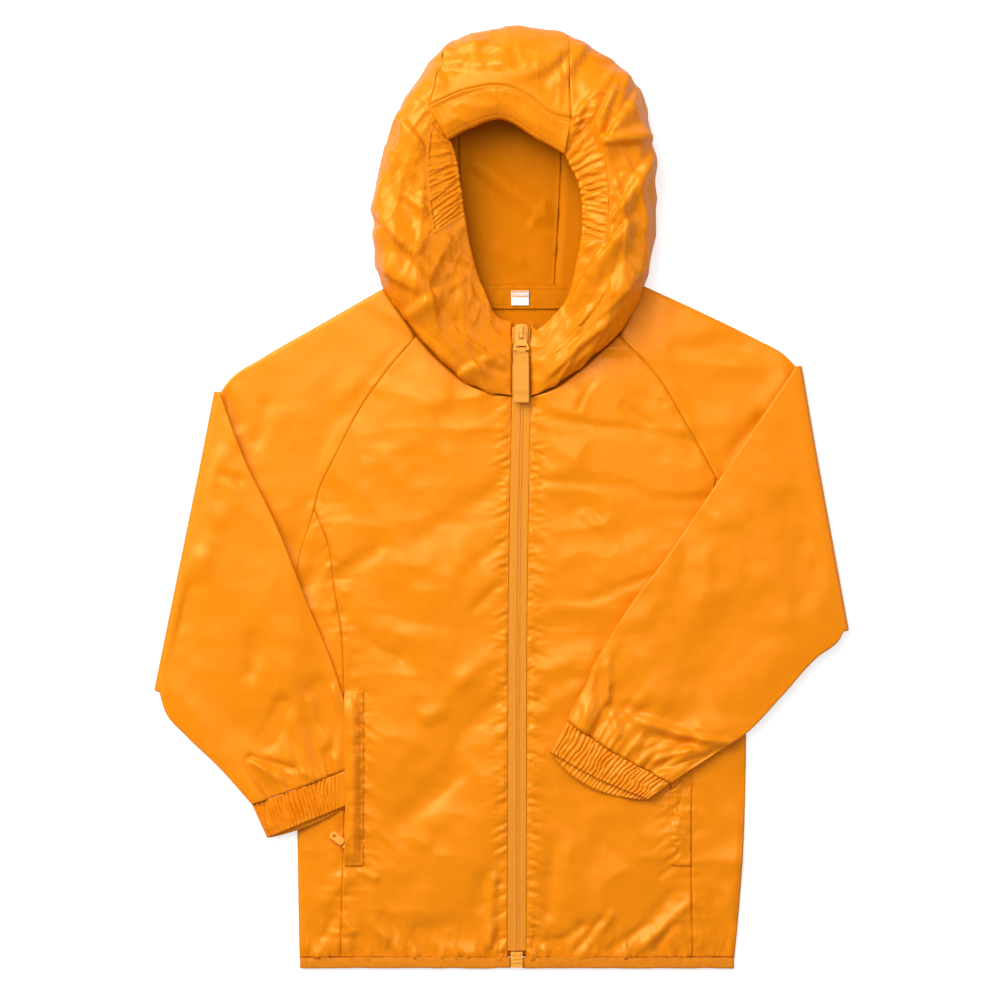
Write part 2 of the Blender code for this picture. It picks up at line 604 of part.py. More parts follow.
def hood_row(mouth, crest, outer, floor_end):
    """Points of one section: from the face opening over the crest, round the outside and in along the floor."""
    points = []
    for t in np.linspace(0, 1, MOUTH_STEPS + 1):
        rise = math.sin(math.pi / 2 * t)
        points.append([*(mouth[:2] + t * (crest[:2] - mouth[:2])), mouth[2] + rise * (crest[2] - mouth[2])])
    for t in np.linspace(0, 1, CREST_STEPS + 1)[1:]:
        turn = math.pi / 2 * t
        spot = crest[:2] + math.sin(turn) * (outer[:2] - crest[:2])
        points.append([*spot, crest[2] - (1 - math.cos(turn)) * (crest[2] - outer[2])])
    inward = floor_end - outer[:2]
    foot = outer[:2] + inward / np.linalg.norm(inward) * HOOD_TURN
    for t in np.linspace(0, 1, TURN_STEPS + 1)[1:]:
        turn = math.pi / 2 * t
        spot = outer[:2] + (1 - math.cos(turn)) * (foot - outer[:2])
        points.append([*spot, outer[2] - math.sin(turn) * (outer[2] - BACK_MID)])
    for t in np.linspace(0, 1, FLOOR_STEPS + 1)[1:]:
        points.append([*(foot + t * (floor_end - foot)), BACK_MID])
    return np.array(points)


def hood_stations(table):
    """The hood's table as a smooth function of the row number."""
    rows = np.array(table, float).reshape(len(table), 9)
    return spline(rows, np.arange(len(table), dtype=float))


def hood_side_points(table, strip):
    station = hood_stations(table)
    last = len(table) - 1
    seam = curve(strip)
    rows = []
    for number in np.arange(0, last + 0.25, 0.5):
        mouth, crest, outer = station(number).reshape(3, 3)
        rows.append(hood_row(mouth, crest, outer, seam(max(0, (number - SHOULDER_ROW) / (last - SHOULDER_ROW)))))
    return np.array(rows)


def make_hood(look):
    outer_column = MOUTH_STEPS + CREST_STEPS
    shoulder = 2 * SHOULDER_ROW
    casing_column = round(CASING_SHARE * MOUTH_STEPS)
    first, last = (round(2 * row) for row in CASING_ROWS)

    def keep(j, i):
        if i < casing_column and first <= j < last:
            return False
        return i < outer_column or j >= shoulder

    for side, table, strip in (("left", HOOD_LEFT, STRIP_LEFT), ("right", HOOD_RIGHT, STRIP_RIGHT)):
        wall("hood_side_" + side, hood_side_points(table, strip), look, keep=keep)


def strip_edge(table, strip, shift):
    """The hood side's seam to the centre strip, from the brim band over the top and down the inside back."""
    points = hood_side_points(table, strip)
    over = points[-1][MOUTH_STEPS:]
    down = points[2 * SHOULDER_ROW : -1, -1][::-1]
    return np.concatenate([over, down]) + np.array([shift, 0, 0])


def make_strip(look):
    left = strip_edge(HOOD_LEFT, STRIP_LEFT, 2 * SEAM)
    right = strip_edge(HOOD_RIGHT, STRIP_RIGHT, -2 * SEAM)
    mouth, crest, outer = np.array(HOOD_MIDDLE, float)
    over = hood_row(mouth, crest, outer, np.array(HOOD_BACK_TOP))[MOUTH_STEPS:]
    down = (left[len(over) :] + right[len(over) :]) / 2
    middle = np.concatenate([over, down])
    columns = []
    for t in np.linspace(0, 1, 6):
        before, at, after = 2 * (t - 0.5) * (t - 1), 4 * t * (1 - t), 2 * t * (t - 0.5)
        columns.append(before * left + at * middle + after * right)
    points = np.array(columns).transpose(1, 0, 2)
    points[0, :, 1] += SEAM * 1.4
    wall("hood_centre", points, look)


def make_brim(look):
    seam, edge = curve(BRIM_SEAM), curve(BRIM_EDGE)
    rows = []
    for t in np.linspace(0.035, 0.965, 13):
        mouth, crest = edge(t), seam(t)
        share = np.linspace(0, 0.97, MOUTH_STEPS)
        plan = mouth[:2] + share[:, None] * (crest[:2] - mouth[:2])
        rows.append(np.column_stack([plan, mouth[2] + np.sin(math.pi / 2 * share) * (crest[2] - mouth[2])]))
    wall("hood_brim", np.array(rows), look)


def make_casings(look):
    """The gathered elastic casings on the face opening at the temples."""
    for side, table in (("left", HOOD_LEFT), ("right", HOOD_RIGHT)):
        station = hood_stations(table)
        numbers = np.linspace(CASING_ROWS[0] + 0.12, CASING_ROWS[1] - 0.3, 200)
        mouths = np.array([station(number)[:3] for number in numbers])
        steps = np.linalg.norm(np.diff(mouths, axis=0), axis=1)
        length = np.concatenate([[0], np.cumsum(steps)]) / steps.sum()
        rows = []
        for place in np.linspace(0, 1, 4 * CASING_GATHERS + 1):
            number = np.interp(place, length, numbers)
            low = math.floor(2 * number) / 2
            mix = (number - low) / 0.5
            here = (1 - mix) * station(low) + mix * station(low + 0.5)
            mouth, crest, _ = here.reshape(3, 3)
            share = np.linspace(0, CASING_SHARE - 0.04, 4)
            plan = mouth[:2] + share[:, None] * (crest[:2] - mouth[:2])
            wave = GATHER * math.cos(2 * math.pi * CASING_GATHERS * place)
            height = mouth[2] + np.sin(math.pi / 2 * share) * (crest[2] - mouth[2]) + wave
            rows.append(np.column_stack([plan, height]))
        wall("hood_casing_" + side, np.array(rows), look)


def make_neck(look, white):
    band = WALL + TRIM_GAP
    block("neck_band", (*NECK_BAND[0], band), (*NECK_BAND[1], band + TRIM_WALL), look)
    label = band + TRIM_WALL + TRIM_GAP
    block("label", (*LABEL[0], label), (*LABEL[1], label + TRIM_WALL), white)


# ---- front zip


def zip_run(start, end, low, high, rows):
    """A strip of the zip between two distances from its middle line."""
    u, v = grid(2, rows)
    y = start + v * (end - start)
    return np.stack([zip_x(y) + low + u * (high - low), y, zip_mid(y)], -1)


def make_zip(tape, look):
    wall("zip_tape_left", zip_run(ZIP_FOOT, TAPE_TOP, -TAPE_OUT, -TAPE_IN, 30), tape, thickness=TAPE_WALL)
    wall("zip_tape_right", zip_run(ZIP_FOOT, TAPE_TOP, TAPE_IN, TAPE_OUT, 30), tape, thickness=TAPE_WALL)
    wall("zip_chain", zip_run(ZIP_FOOT, CHAIN_TOP, -CHAIN_HALF, CHAIN_HALF, 30), look, thickness=CHAIN_WALL)
    width, length, height = FOOT_BOX
    middle = zip_x(ZIP_FOOT)
    low = (middle - width / 2, ZIP_FOOT - SEAM - length, WALL + 0.4)
    high = (middle + width / 2, ZIP_FOOT - SEAM, WALL + 0.4 + height)
    block("zip_foot_box", low, high, look)


def make_slider(look):
    width, length, thick = SLIDER_PLATE
    foot, head = SLIDER_Y - length / 2, SLIDER_Y + length / 2
    gap = CHAIN_WALL / 2 + SLIDER_PLAY
    under = ZIP_CHIN - gap
    over = ZIP_CHIN + gap
    plate = rounded(width, length, SLIDER_CORNER)
    slider = prism("zip_slider", plate, over, over + thick, look, origin=(ZIP_X, foot, 0))
    lower = prism("slider_lower", plate, under - thick, under, look, origin=(ZIP_X, foot, 0))
    post_low = (ZIP_X - POST_HALF, CHAIN_TOP + SEAM, under - JOIN)
    post_high = (ZIP_X + POST_HALF, head - 1, over + JOIN)
    post = block("slider_post", post_low, post_high, look)
    top = HINGE_Z + BRIDGE_RISE
    front, rear = BRIDGE_FRONT, BRIDGE_REAR
    arch = [
        (front, over + JOIN), (front, top + BRIDGE_WALL), (rear, top + BRIDGE_WALL), (rear, over + JOIN),
        (rear - BRIDGE_WALL, over + JOIN), (rear - BRIDGE_WALL, top), (front + BRIDGE_WALL, top),
        (front + BRIDGE_WALL, over + JOIN),
    ]
    bridge = prism("slider_bridge", arch, ZIP_X - BRIDGE_HALF, ZIP_X + BRIDGE_HALF, look, axis="x")
    for helper in (lower, post, bridge):
        combine(slider, helper, "UNION")


def window(name, sizes, look):
    half, foot, top = sizes
    return block(name, (-half, foot, -2), (half, top, 2), look)


def frame_outline(low, high, half, grow):
    """Section of the ribbon's loop: y of its two ends and half its height, grown all round."""
    y0, y1, z = low - grow, high + grow, half + grow
    return [(y0, -z), (y1, -z), (y1, z), (y0, z)]


def make_pull(look, tape):
    """The pull tab and its ribbon, with their origin on the hinge."""
    hinge = bpy.data.objects.new("pull_hinge", None)
    hinge.location = (ZIP_X * MM, HINGE_Y * MM, HINGE_Z * MM)
    bpy.context.collection.objects.link(hinge)
    half = TAB_WALL / 2
    outline = [(-x, y) for x, y in TAB_OUTLINE] + TAB_OUTLINE[::-1]
    tab = prism("zip_pull", outline, -half, half, look)
    bridge_window = window("pull_window", TAB_WINDOW, look)
    ribbon_slot = window("pull_slot", TAB_SLOT, look)
    combine(tab, bridge_window, "DIFFERENCE")
    combine(tab, ribbon_slot, "DIFFERENCE")
    low, high = TAB_BAR
    ribbon_low = (-RIBBON_HALF, RIBBON_FOOT - HINGE_Y, -half)
    ribbon_high = (RIBBON_HALF, low - LOOP_PLAY / 3, half)
    ribbon = block("pull_ribbon", ribbon_low, ribbon_high, tape)
    room = half + LOOP_PLAY
    loop = frame_outline(low, high, room, LOOP_WALL)
    hole = frame_outline(low, high, room, 0)
    ring = prism("ribbon_loop", loop, -LOOP_HALF, LOOP_HALF, tape, axis="x")
    bore = prism("ribbon_bore", hole, -2 * RIBBON_HALF, 2 * RIBBON_HALF, tape, axis="x")
    combine(ribbon, ring, "UNION")
    combine(ribbon, bore, "DIFFERENCE")
    for piece in (tab, bridge_window, ribbon_slot, ribbon, ring, bore):
        piece.parent = hinge


def make_pocket_pull(look):
    """The slider of the left pocket's zip, under the welt, and its pull tab."""
    turn = math.atan2(POCKET_WAY[1], POCKET_WAY[0]) - math.pi / 2
    length, width, thick = POCKET_TAB
    outline = rounded(width, length, POCKET_TAB_CORNER)
    tab = prism("pocket_pull", outline, -thick / 2, thick / 2, look, origin=POCKET_HINGE)
    tab.rotation_euler = (0, 0, turn)
    angles = np.linspace(0, 2 * math.pi, 13)[:-1]
    eye = [(POCKET_EYE * math.cos(a), length - EYE_INSET + POCKET_EYE * math.sin(a)) for a in angles]
    hole = prism("pull_eye", eye, -3, 3, look, origin=POCKET_HINGE)
    hole.rotation_euler = (0, 0, turn)
    combine(tab, hole, "DIFFERENCE")
    slider = block("pocket_slider", *POCKET_SLIDER, look, origin=POCKET_HINGE)
    slider.rotation_euler = (0, 0, turn)


def start():
    for item in list(bpy.data.objects):
        bpy.data.objects.remove(item)


def main():
    start()
    cloth = material("orange_cloth", ORANGE, 0.35)
    tape = material("orange_tape", ORANGE_TAPE, 0.6)
    moulded = material("orange_moulded", ORANGE_PULL, 0.3)
    white = material("white_label", WHITE, 0.6)
    make_back(cloth)
    make_fronts(cloth)
    make_side_panels(cloth)
    make_hem(cloth)
    make_welts(cloth)
    make_sleeves(cloth)
    make_cuffs(cloth)
    make_hood(cloth)
    make_strip(cloth)
    make_brim(cloth)
    make_casings(cloth)
    make_neck(cloth, white)
    make_zip(tape, moulded)
    make_slider(moulded)
    make_pull(moulded, tape)
    make_pocket_pull(moulded)


main()
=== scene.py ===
# %% [markdown]
# # A child's hooded windbreaker, laid out flat
#
# The real jacket is sewn from one thin layer of glossy nylon, with no lining.
# It lies on its back with the zip closed, and both sleeves are folded over the front.
# The measured solids come first, and every piece below is fitted to them.

# %% Load the measured solids
import math

import bmesh
import bpy
import numpy as np
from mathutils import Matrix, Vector


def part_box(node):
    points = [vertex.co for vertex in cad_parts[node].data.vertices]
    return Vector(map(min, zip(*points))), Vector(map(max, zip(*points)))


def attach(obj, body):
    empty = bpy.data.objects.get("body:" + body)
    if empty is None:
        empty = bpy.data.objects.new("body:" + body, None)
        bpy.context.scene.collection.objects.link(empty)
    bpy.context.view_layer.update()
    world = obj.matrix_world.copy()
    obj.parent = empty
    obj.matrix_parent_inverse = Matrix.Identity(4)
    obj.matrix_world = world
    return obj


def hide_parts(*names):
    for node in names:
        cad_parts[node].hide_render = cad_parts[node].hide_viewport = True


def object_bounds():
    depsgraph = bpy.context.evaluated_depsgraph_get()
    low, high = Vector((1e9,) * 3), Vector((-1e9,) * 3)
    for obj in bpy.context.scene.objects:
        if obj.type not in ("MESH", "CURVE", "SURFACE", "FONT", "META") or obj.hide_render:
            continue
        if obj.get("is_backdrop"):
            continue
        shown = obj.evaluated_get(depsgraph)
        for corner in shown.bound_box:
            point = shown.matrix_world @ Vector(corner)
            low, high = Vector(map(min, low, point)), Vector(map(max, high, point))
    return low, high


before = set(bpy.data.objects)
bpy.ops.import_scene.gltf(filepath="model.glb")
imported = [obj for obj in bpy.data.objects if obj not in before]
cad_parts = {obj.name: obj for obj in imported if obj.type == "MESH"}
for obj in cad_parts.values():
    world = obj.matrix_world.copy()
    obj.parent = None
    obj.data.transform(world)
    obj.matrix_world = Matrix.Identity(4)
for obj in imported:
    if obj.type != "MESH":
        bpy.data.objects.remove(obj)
CAD_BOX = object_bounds()
MM = 0.001

# %% [markdown]
# ## The camera
#
# The jacket was looked at from straight above, from far enough away that nothing leans outwards.
# A long lens high over the table gives that view, 700 mm wide.

# %% Put the camera over the table
VIEW_WIDTH = 0.700
VIEW_CENTRE = (-0.00105, -0.00105)
LENS, SENSOR = 150.0, 36.0
bpy.ops.object.camera_add(location=(*VIEW_CENTRE, VIEW_WIDTH * LENS / SENSOR), rotation=(0, 0, 0))
camera = bpy.context.object
camera.name = "camera"
camera.data.lens = LENS
camera.data.sensor_width = SENSOR
camera.data.clip_end = 20
bpy.context.scene.camera = camera
bpy.context.scene.view_settings.view_transform = "Standard"
print("camera height", round(camera.location.z, 3), "m")

# %% [markdown]
# ## The light
#
# Thin glossy cloth shows its folds by what it mirrors. The key soft box stands beyond the hood and
# to the left, so that folds that run either way have a bright side and a dark one. A weaker box nearly
# overhead gives the soft gleams. Two weak boxes at the sides and a pale sky keep the shadows light.

# %% Hang the soft boxes and lay the floor
TARGET = Vector((0, 0, 0))
# name, place in metres, size in metres, power in watts
SOFT_BOXES = [
    ("key_light", (-1.0, 1.2, 1.55), 1.8, 55),
    ("overhead_light", (-0.12, 0.60, 2.3), 1.0, 9),
    ("left_light", (-1.6, 0.2, 1.2), 1.0, 4),
    ("right_light", (1.5, 0.2, 1.2), 1.0, 4),
]
SKY_STRENGTH = 0.35
FLOOR_GLOW = 0.62  # glow of the table in the camera's eyes only, so that it is white


def soft_box(name, place, size, power):
    bpy.ops.object.light_add(type="AREA", location=place)
    box = bpy.context.object
    box.name = name
    box.data.shape = "DISK"
    box.data.size = size
    box.data.energy = power
    box.rotation_euler = (TARGET - Vector(place)).to_track_quat("-Z", "Y").to_euler()
    return box


for row in SOFT_BOXES:
    soft_box(*row)
sky = bpy.context.scene.world or bpy.data.worlds.new("sky")
bpy.context.scene.world = sky
sky.use_nodes = True
sky.node_tree.nodes["Background"].inputs["Color"].default_value = (1.0, 0.99, 0.98, 1)
sky.node_tree.nodes["Background"].inputs["Strength"].default_value = SKY_STRENGTH

bpy.ops.mesh.primitive_plane_add(size=8, location=(0, 0, -0.0004))
floor = bpy.context.object
floor.name = "floor"
floor_look = bpy.data.materials.new("white_table")
floor_look.use_nodes = True
floor_shader = floor_look.node_tree.nodes["Principled BSDF"]
floor_shader.inputs["Base Color"].default_value = (0.62, 0.61, 0.60, 1)
floor_shader.inputs["Roughness"].default_value = 0.9
floor_shader.inputs["Specular IOR Level"].default_value = 0.1
floor_shader.inputs["Emission Color"].default_value = (1, 1, 1, 1)
seen = floor_look.node_tree.nodes.new("ShaderNodeLightPath")
lift = floor_look.node_tree.nodes.new("ShaderNodeMath")
lift.operation = "MULTIPLY"
lift.inputs[1].default_value = FLOOR_GLOW
floor_look.node_tree.links.new(seen.outputs["Is Camera Ray"], lift.inputs[0])
floor_look.node_tree.links.new(lift.outputs[0], floor_shader.inputs["Emission Strength"])
floor.data.materials.append(floor_look)
floor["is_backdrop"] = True

# %% [markdown]
# ## The cut of the jacket
#
# Each seam is a short table of points in millimetres: x across, y towards the hood, z up.
# "Left" and "right" are the viewer's. A smooth curve through the points is the seam.
# The same tables made the solids, so a panel made from them lies where its solid is.

# %% Seams of the body, the sleeves and the cuffs
WALL = 1.2  # thickness of a cloth wall
BACK_MID = WALL / 2  # middle of the layer that lies on the floor
FRONT_MID = 2.1  # middle of the front layer where it lies closest to the back
MOST_LOFT = 3.0  # most that the front stands off that height
NECK_Y = 147.2  # seam between the back and the hood

# Middle of the front zip, from the neck to the hem: x, y
ZIP_LINE = [(13.7, 130), (13.7, 69), (12.3, -1), (11.2, -85), (10.9, -200), (10.6, -330)]
ZIP_HALF = 6.3  # from the middle of the zip to the cloth's stitched edge
ZIP_X = 13.7  # its middle at the slider
ZIP_CHIN = 6.0  # its height between the two sides of the hood
TAPE_OUT = 5.9  # from the middle to the tape's outer edge
CHAIN_TOP, ZIP_FOOT = 114.6, -316.4

HEM_TOP, HEM_FOOT = -321.0, -328.3
HEM_WALL = 1.4
HEM_FRONT, HEM_BACK = 2.75, 0.7  # middle heights of the binding on the front and on the back

# Seams and edges of the body: x, y
RAGLAN_LEFT = [(-60, 113), (-78, 92), (-97.7, 64.8), (-114, 34), (-129.2, 0.4), (-130.8, -7.4)]
ARMHOLE_LEFT = [(-130.8, -7.4), (-142, -45), (-142.5, -85)]
PRINCESS_LEFT = [(-112.4, -320.5), (-110.3, -128), (-112.4, -89), (-116.6, -65), (-121, -33), (-130.8, -7.4)]
SIDE_LEFT = [(-141.3, -320.5), (-142.8, -235), (-142.5, -85)]
NECK_LEFT = [(-60, 113), (-43, 95.5), (-21, 78.5), (-4, 72.5), (7.4, 71)]
RAGLAN_BACK_LEFT = [(-70, NECK_Y), (-108, 44), (-135, -8), (-142.3, -50), (-142.5, -85)]

RAGLAN_RIGHT = [(82, 114), (108, 87), (130, 51), (142, 30), (150.5, 14)]
ARMHOLE_RIGHT = [(150.5, 14), (166, -20), (171, -66)]
PRINCESS_RIGHT = [(134, -320.5), (132, -205), (131, -128), (134, -60), (150.5, 14)]
SIDE_RIGHT = [(163, -320.5), (166, -288), (169, -247), (171.2, -166), (171, -66)]
NECK_RIGHT = [(20, 70.5), (35, 75.5), (62, 95.5), (82, 114)]
RAGLAN_BACK_RIGHT = [(88, NECK_Y), (128, 46), (159, -2), (169.5, -40), (171, -66)]

# Sleeves, upper part: shoulder edge, underarm edge and the line where the sleeve folds back: x, y
SHOULDER_LEFT = [(-82, NECK_Y), (-130, 121), (-172, 98), (-193, 85), (-201.3, 75)]
UNDERARM_LEFT = [(-142.5, -85), (-243.3, -134.1)]
FOLD_LEFT = [(-201.3, 75), (-208, 40), (-225, -44), (-238, -108), (-243.3, -134.1)]
SHOULDER_RIGHT = [(99, NECK_Y + 1.5), (140, 131), (181, 112), (202, 101), (210.4, 93)]
UNDERARM_RIGHT = [(171, -66), (243.3, -92)]
FOLD_RIGHT = [(210.4, 93), (219, 42), (232, -30), (243.3, -92)]
FOLD_CENTRE = 4.6  # height about which a sleeve folds back
FOLD_INSET = 4.6  # from the sleeve's outer line in to the middle of the fold
PLY = 0.95  # half the distance between the two plies of a flattened sleeve
# Sleeves, folded part: inner edge, outer lower edge, and the cuff's two ends: x, y
INNER_LEFT = [
    (-201.3, 75), (-184, 30.5), (-158.6, -21), (-138.3, -71), (-118, -119), (-109.5, -146), (-101, -187),
]
LOWER_LEFT = [(-243.3, -134.1), (-238, -149), (-222, -166), (-200, -186), (-174, -213.5)]
CUFF_TOP_LEFT = [(-101, -187), (-137, -200.5), (-174, -213.5)]
CUFF_END_LEFT = [(-101.5, -211.5), (-133, -224.5), (-163.5, -236.8)]
INNER_RIGHT = [(210.4, 93), (162, 24), (115.2, -43), (90, -76), (74, -101), (60, -126), (45.9, -155.8)]
LOWER_RIGHT = [(243.3, -92), (240, -98), (224.4, -110), (198, -138), (172, -164), (150, -178), (118, -198.5)]
CUFF_TOP_RIGHT = [(45.9, -155.8), (80, -178), (118, -198.5)]
CUFF_END_RIGHT = [(34, -177), (66, -195), (102.6, -210)]

# Hood, from the zip round to the seam of its centre strip:
# edge of the face opening x, y, z; highest line x, y, z; outermost line x, y, z
HOOD_LEFT = [
    ((7.1, 124, 6), (7.1, 98, 6.6), (7.1, 71.6, 5.9)),
    ((-3, 127, 8), (-12, 104, 12), (-4, 73, 6.2)),
    ((-10, 140, 12), (-30, 118, 19), (-21, 79.5, 6.5)),
    ((-19, 165, 17), (-46, 140, 28), (-43, 97, 7)),
    ((-24, 187, 22), (-57, 165, 34), (-66, 125, 7)),
    ((-27, 208, 26), (-61, 185, 37), (-84.5, 149.5, 7)),
    ((-29, 222, 29), (-63, 207, 39), (-88.7, 188, 11)),
    ((-31, 235, 31), (-63, 230, 41), (-87.5, 214, 14)),
    ((-33, 241, 32), (-60, 252, 42), (-80.5, 245, 15)),
    ((-35, 245.5, 32.6), (-56, 264, 42), (-68, 279, 16)),
    ((-37, 248, 33), (-50.5, 271, 41.5), (-36, 318, 16)),
]
HOOD_MIDDLE = ((-3, 262, 31), (3, 284.5, 43.5), (8, 329, 16))
HOOD_RIGHT = [
    ((20.3, 124, 6), (20.3, 98, 6.6), (20.3, 71.6, 5.9)),
    ((25, 118, 8), (33, 101, 12), (28, 73.5, 6.2)),
    ((42.5, 134, 13), (54, 118, 19), (44, 83, 6.5)),
    ((49, 150, 18), (71, 140, 28), (62, 97, 7)),
    ((54, 170, 23), (80, 164, 34), (83.5, 118, 7)),
    ((56, 192, 26), (84, 186, 37), (101.5, 152, 7)),
    ((55.5, 206, 29), (85, 208, 39), (107.3, 190, 11)),
    ((53, 219, 31), (84, 231, 41), (107.3, 220, 14)),
    ((48, 229, 33), (79, 254, 42), (105, 250, 15)),
    ((45, 236, 34), (68, 271, 42), (91, 293, 16)),
    ((43.5, 238, 34), (48, 262, 41.5), (46, 323, 16)),
]
SHOULDER_ROW = 5  # the row of those tables where the hood leaves the shoulder
HOOD_TURN = 12.0  # how far in from the outermost line the hood meets the floor
HOOD_BACK_TOP = (5.0, 301.0)  # where the middle of the centre strip ends on the floor
# Seam of the centre strip down the inside back, from the neck to the top: x, y
STRIP_LEFT = [(-28, NECK_Y + 1.2), (-28, 220), (-31.5, 299)]
STRIP_RIGHT = [(36, NECK_Y + 1.2), (40, 220), (43, 304)]
# Brim band: its seam to the centre strip and its free edge: x, y, z
BRIM_SEAM = [
    (-50.5, 271, 41.5), (-24, 282, 43), (3, 284.5, 43.5), (20, 277, 43), (34, 266, 42), (48, 262, 41.5),
]
BRIM_EDGE = [(-37, 248, 33), (-20, 256.5, 31.8), (-3.2, 262.2, 31), (26.6, 247.5, 32), (43.5, 238, 34)]
# Gathered casings at the temples: first and last row of the hood's tables,
# and their share of the way from the face opening to the highest line
CASING_ROWS = (4.5, 9.0)
CASING_SHARE = 0.6

# Pocket welts: x of the free edge and of the sewn edge, y of the top and of the foot
WELT_LEFT = (-109.6, -96.6, -134, -257)
WELT_RIGHT = (132.2, 118.5, -134, -257)
TUCK = 2.4  # how far the left sleeve and cuff are pressed down under the welt
WELT_LIFT = 3.6  # how far the left welt stands up over the cuff that is tucked under it

# Broad folds: x, y of one end, x, y of the other, half width, height
BODY_FOLDS = [
    (-60, 60, 0, 30, 26, 1.2),
    (-100, -30, -10, -65, 20, 1.0),
    (-70, -235, -15, -150, 20, -1.1),
    (-90, -180, -60, -130, 18, 0.9),
    (-30, -280, 0, -200, 14, 0.9),
    (40, 60, 130, 20, 22, 1.0),
    (35, 10, 110, -10, 18, 0.9),
    (60, -70, 120, -40, 20, 1.0),
    (30, -250, 90, -300, 15, 0.9),
    (70, -305, 110, -280, 12, -0.8),
]
SLEEVE_FOLDS = [
    (-190, 70, -110, 60, 22, 0.9),
    (-200, 0, -140, -20, 20, 0.8),
    (120, 100, 200, 70, 22, 0.9),
    (160, 10, 215, 20, 20, 0.8),
]
FOREARM_FOLDS = [
    (-215, -30, -150, -90, 24, 1.1),
    (-225, -140, -170, -200, 14, 1.2),
    (-180, -160, -130, -170, 12, -1.2),
    (-150, -120, -130, -185, 12, 1.0),
    (190, 20, 140, -80, 26, 1.1),
    (90, -120, 150, -165, 13, 1.3),
    (80, -150, 160, -150, 10, -1.1),
    (200, -100, 130, -180, 14, 1.0),
]

# Slider and pull of the front zip, about its hinge
HINGE_Y, HINGE_Z = 116.8, 9.2
BRIDGE_WALL, BRIDGE_RISE = 1.2, 1.1  # the slider's bridge: its thickness, and its underside above the hinge
RIBBON_HALF, RIBBON_FOOT = 5.4, 66.8

PULL_Y = -240.7  # the pocket's pull, beside the left welt

# Inside the neck: x, y of two corners
NECK_BAND = ((-46, 133), (62, NECK_Y))
LABEL = ((6.7, 134.8), (19.3, 145.4))
TRIM_WALL, TRIM_GAP = 1.0, 0.3

# %% [markdown]
# ## Curves and surfaces
#
# A short table becomes a smooth curve, and four curves bound a patch that a panel is laid out on.
# The folds are soft ridges added to its height.


# %% Curves, patches and the height of the front
def straight(start, end):
    start, end = np.array(start, float), np.array(end, float)
    return lambda t: start + np.asarray(t, float)[..., None] * (end - start)


def curve(rows):
    """A smooth curve through the rows, as a function of 0 to 1 along it."""
    points = np.array(rows, float)
    steps = np.linalg.norm(np.diff(points[:, :2], axis=0), axis=1)
    knots = np.concatenate([[0], np.cumsum(steps)]) / steps.sum()
    return spline(points, knots)


def spline(points, knots):
    slopes = np.gradient(points, knots, axis=0)

    def at(t):
        t = np.asarray(t, float)
        k = np.clip(np.searchsorted(knots, t, side="right") - 1, 0, len(knots) - 2)
        span = (knots[k + 1] - knots[k])[..., None]
        s = (t - knots[k])[..., None] / span
        return (
            (1 + 2 * s) * (1 - s) ** 2 * points[k]
            + s * (1 - s) ** 2 * span * slopes[k]
            + s**2 * (3 - 2 * s) * points[k + 1]
            - s**2 * (1 - s) * span * slopes[k + 1]
        )

    return at


def chain(*parts):
    """Paths end to end, each given with its share of the whole, as a function of 0 to 1."""
    total = sum(share for _, share in parts)

    def at(t):
        t = np.asarray(t, float) * total
        done = 0
        for path, share in parts:
            here = path(np.clip((t - done) / share, 0, 1))
            found = here if done == 0 else np.where((t > done)[..., None], here, found)
            done += share
        return found

    return at


def backwards(path):
    return lambda t: path(1 - np.asarray(t, float))


def patch(bottom, top, left, right, u, v):
    """The surface between four edge curves: u runs from left to right and v from bottom to top."""
    u, v = np.broadcast_arrays(u, v)
    a, b = u[..., None], v[..., None]
    sides = (1 - a) * left(v) + a * right(v)
    ends = (1 - b) * bottom(u) + b * top(u)
    zero, one = np.zeros(()), np.ones(())
    low = (1 - a) * bottom(zero) + a * bottom(one)
    high = (1 - a) * top(zero) + a * top(one)
    return sides + ends - (1 - b) * low - b * high


def folds(x, y, rows):
    """Height of the soft folds at x, y."""
    height = np.zeros_like(np.asarray(x, float))
    for x0, y0, x1, y1, width, rise in rows:
        length = math.hypot(x1 - x0, y1 - y0)
        along = ((x - x0) * (x1 - x0) + (y - y0) * (y1 - y0)) / length
        off = ((x - x0) * (y1 - y0) - (y - y0) * (x1 - x0)) / length
        past = np.maximum(0, np.abs(along - length / 2) - length / 2)
        height += rise * np.exp(-((off / width) ** 2) - (past / width) ** 2)
    return height


def bell(value, middle, half):
    """1 at the middle, falling smoothly to about a third at half its width."""
    return np.exp(-(((value - middle) / half) ** 2))


def ramp(value, low, high):
    """0 below low and 1 above high, eased between them; high may be the lower one."""
    t = np.clip((value - low) / (high - low), 0, 1)
    return t * t * (3 - 2 * t)


def zip_x(y):
    table = np.array(ZIP_LINE[::-1], float)
    return np.interp(y, table[:, 1], table[:, 0])


def front_mid(x, y):
    """Middle height of the front layer: low at the sides, the hem and the zip, with its folds between."""
    to_side = np.minimum(x + 142, 170 - x)
    to_hem = y - HEM_FOOT
    swell = 1.5 * (1 - np.exp(-np.maximum(to_side, 0) / 25)) * (1 - np.exp(-np.maximum(to_hem, 0) / 20))
    to_zip = np.abs(x - zip_x(y))
    crease = folds(x, y, BODY_FOLDS) * (1 - np.exp(-((to_zip / 14) ** 2)))
    crease = crease * np.clip(to_side / 30, 0, 1) * np.clip(to_hem / 25, 0, 1)
    return FRONT_MID + np.clip(swell + crease, 0, MOST_LOFT)


def zip_mid(y):
    """Middle height of the zip: with the front, and higher between the two sides of the hood."""
    y = np.asarray(y, float)
    return front_mid(zip_x(y), y) * (1 - ramp(y, 66, 90)) + ZIP_CHIN * ramp(y, 66, 90)


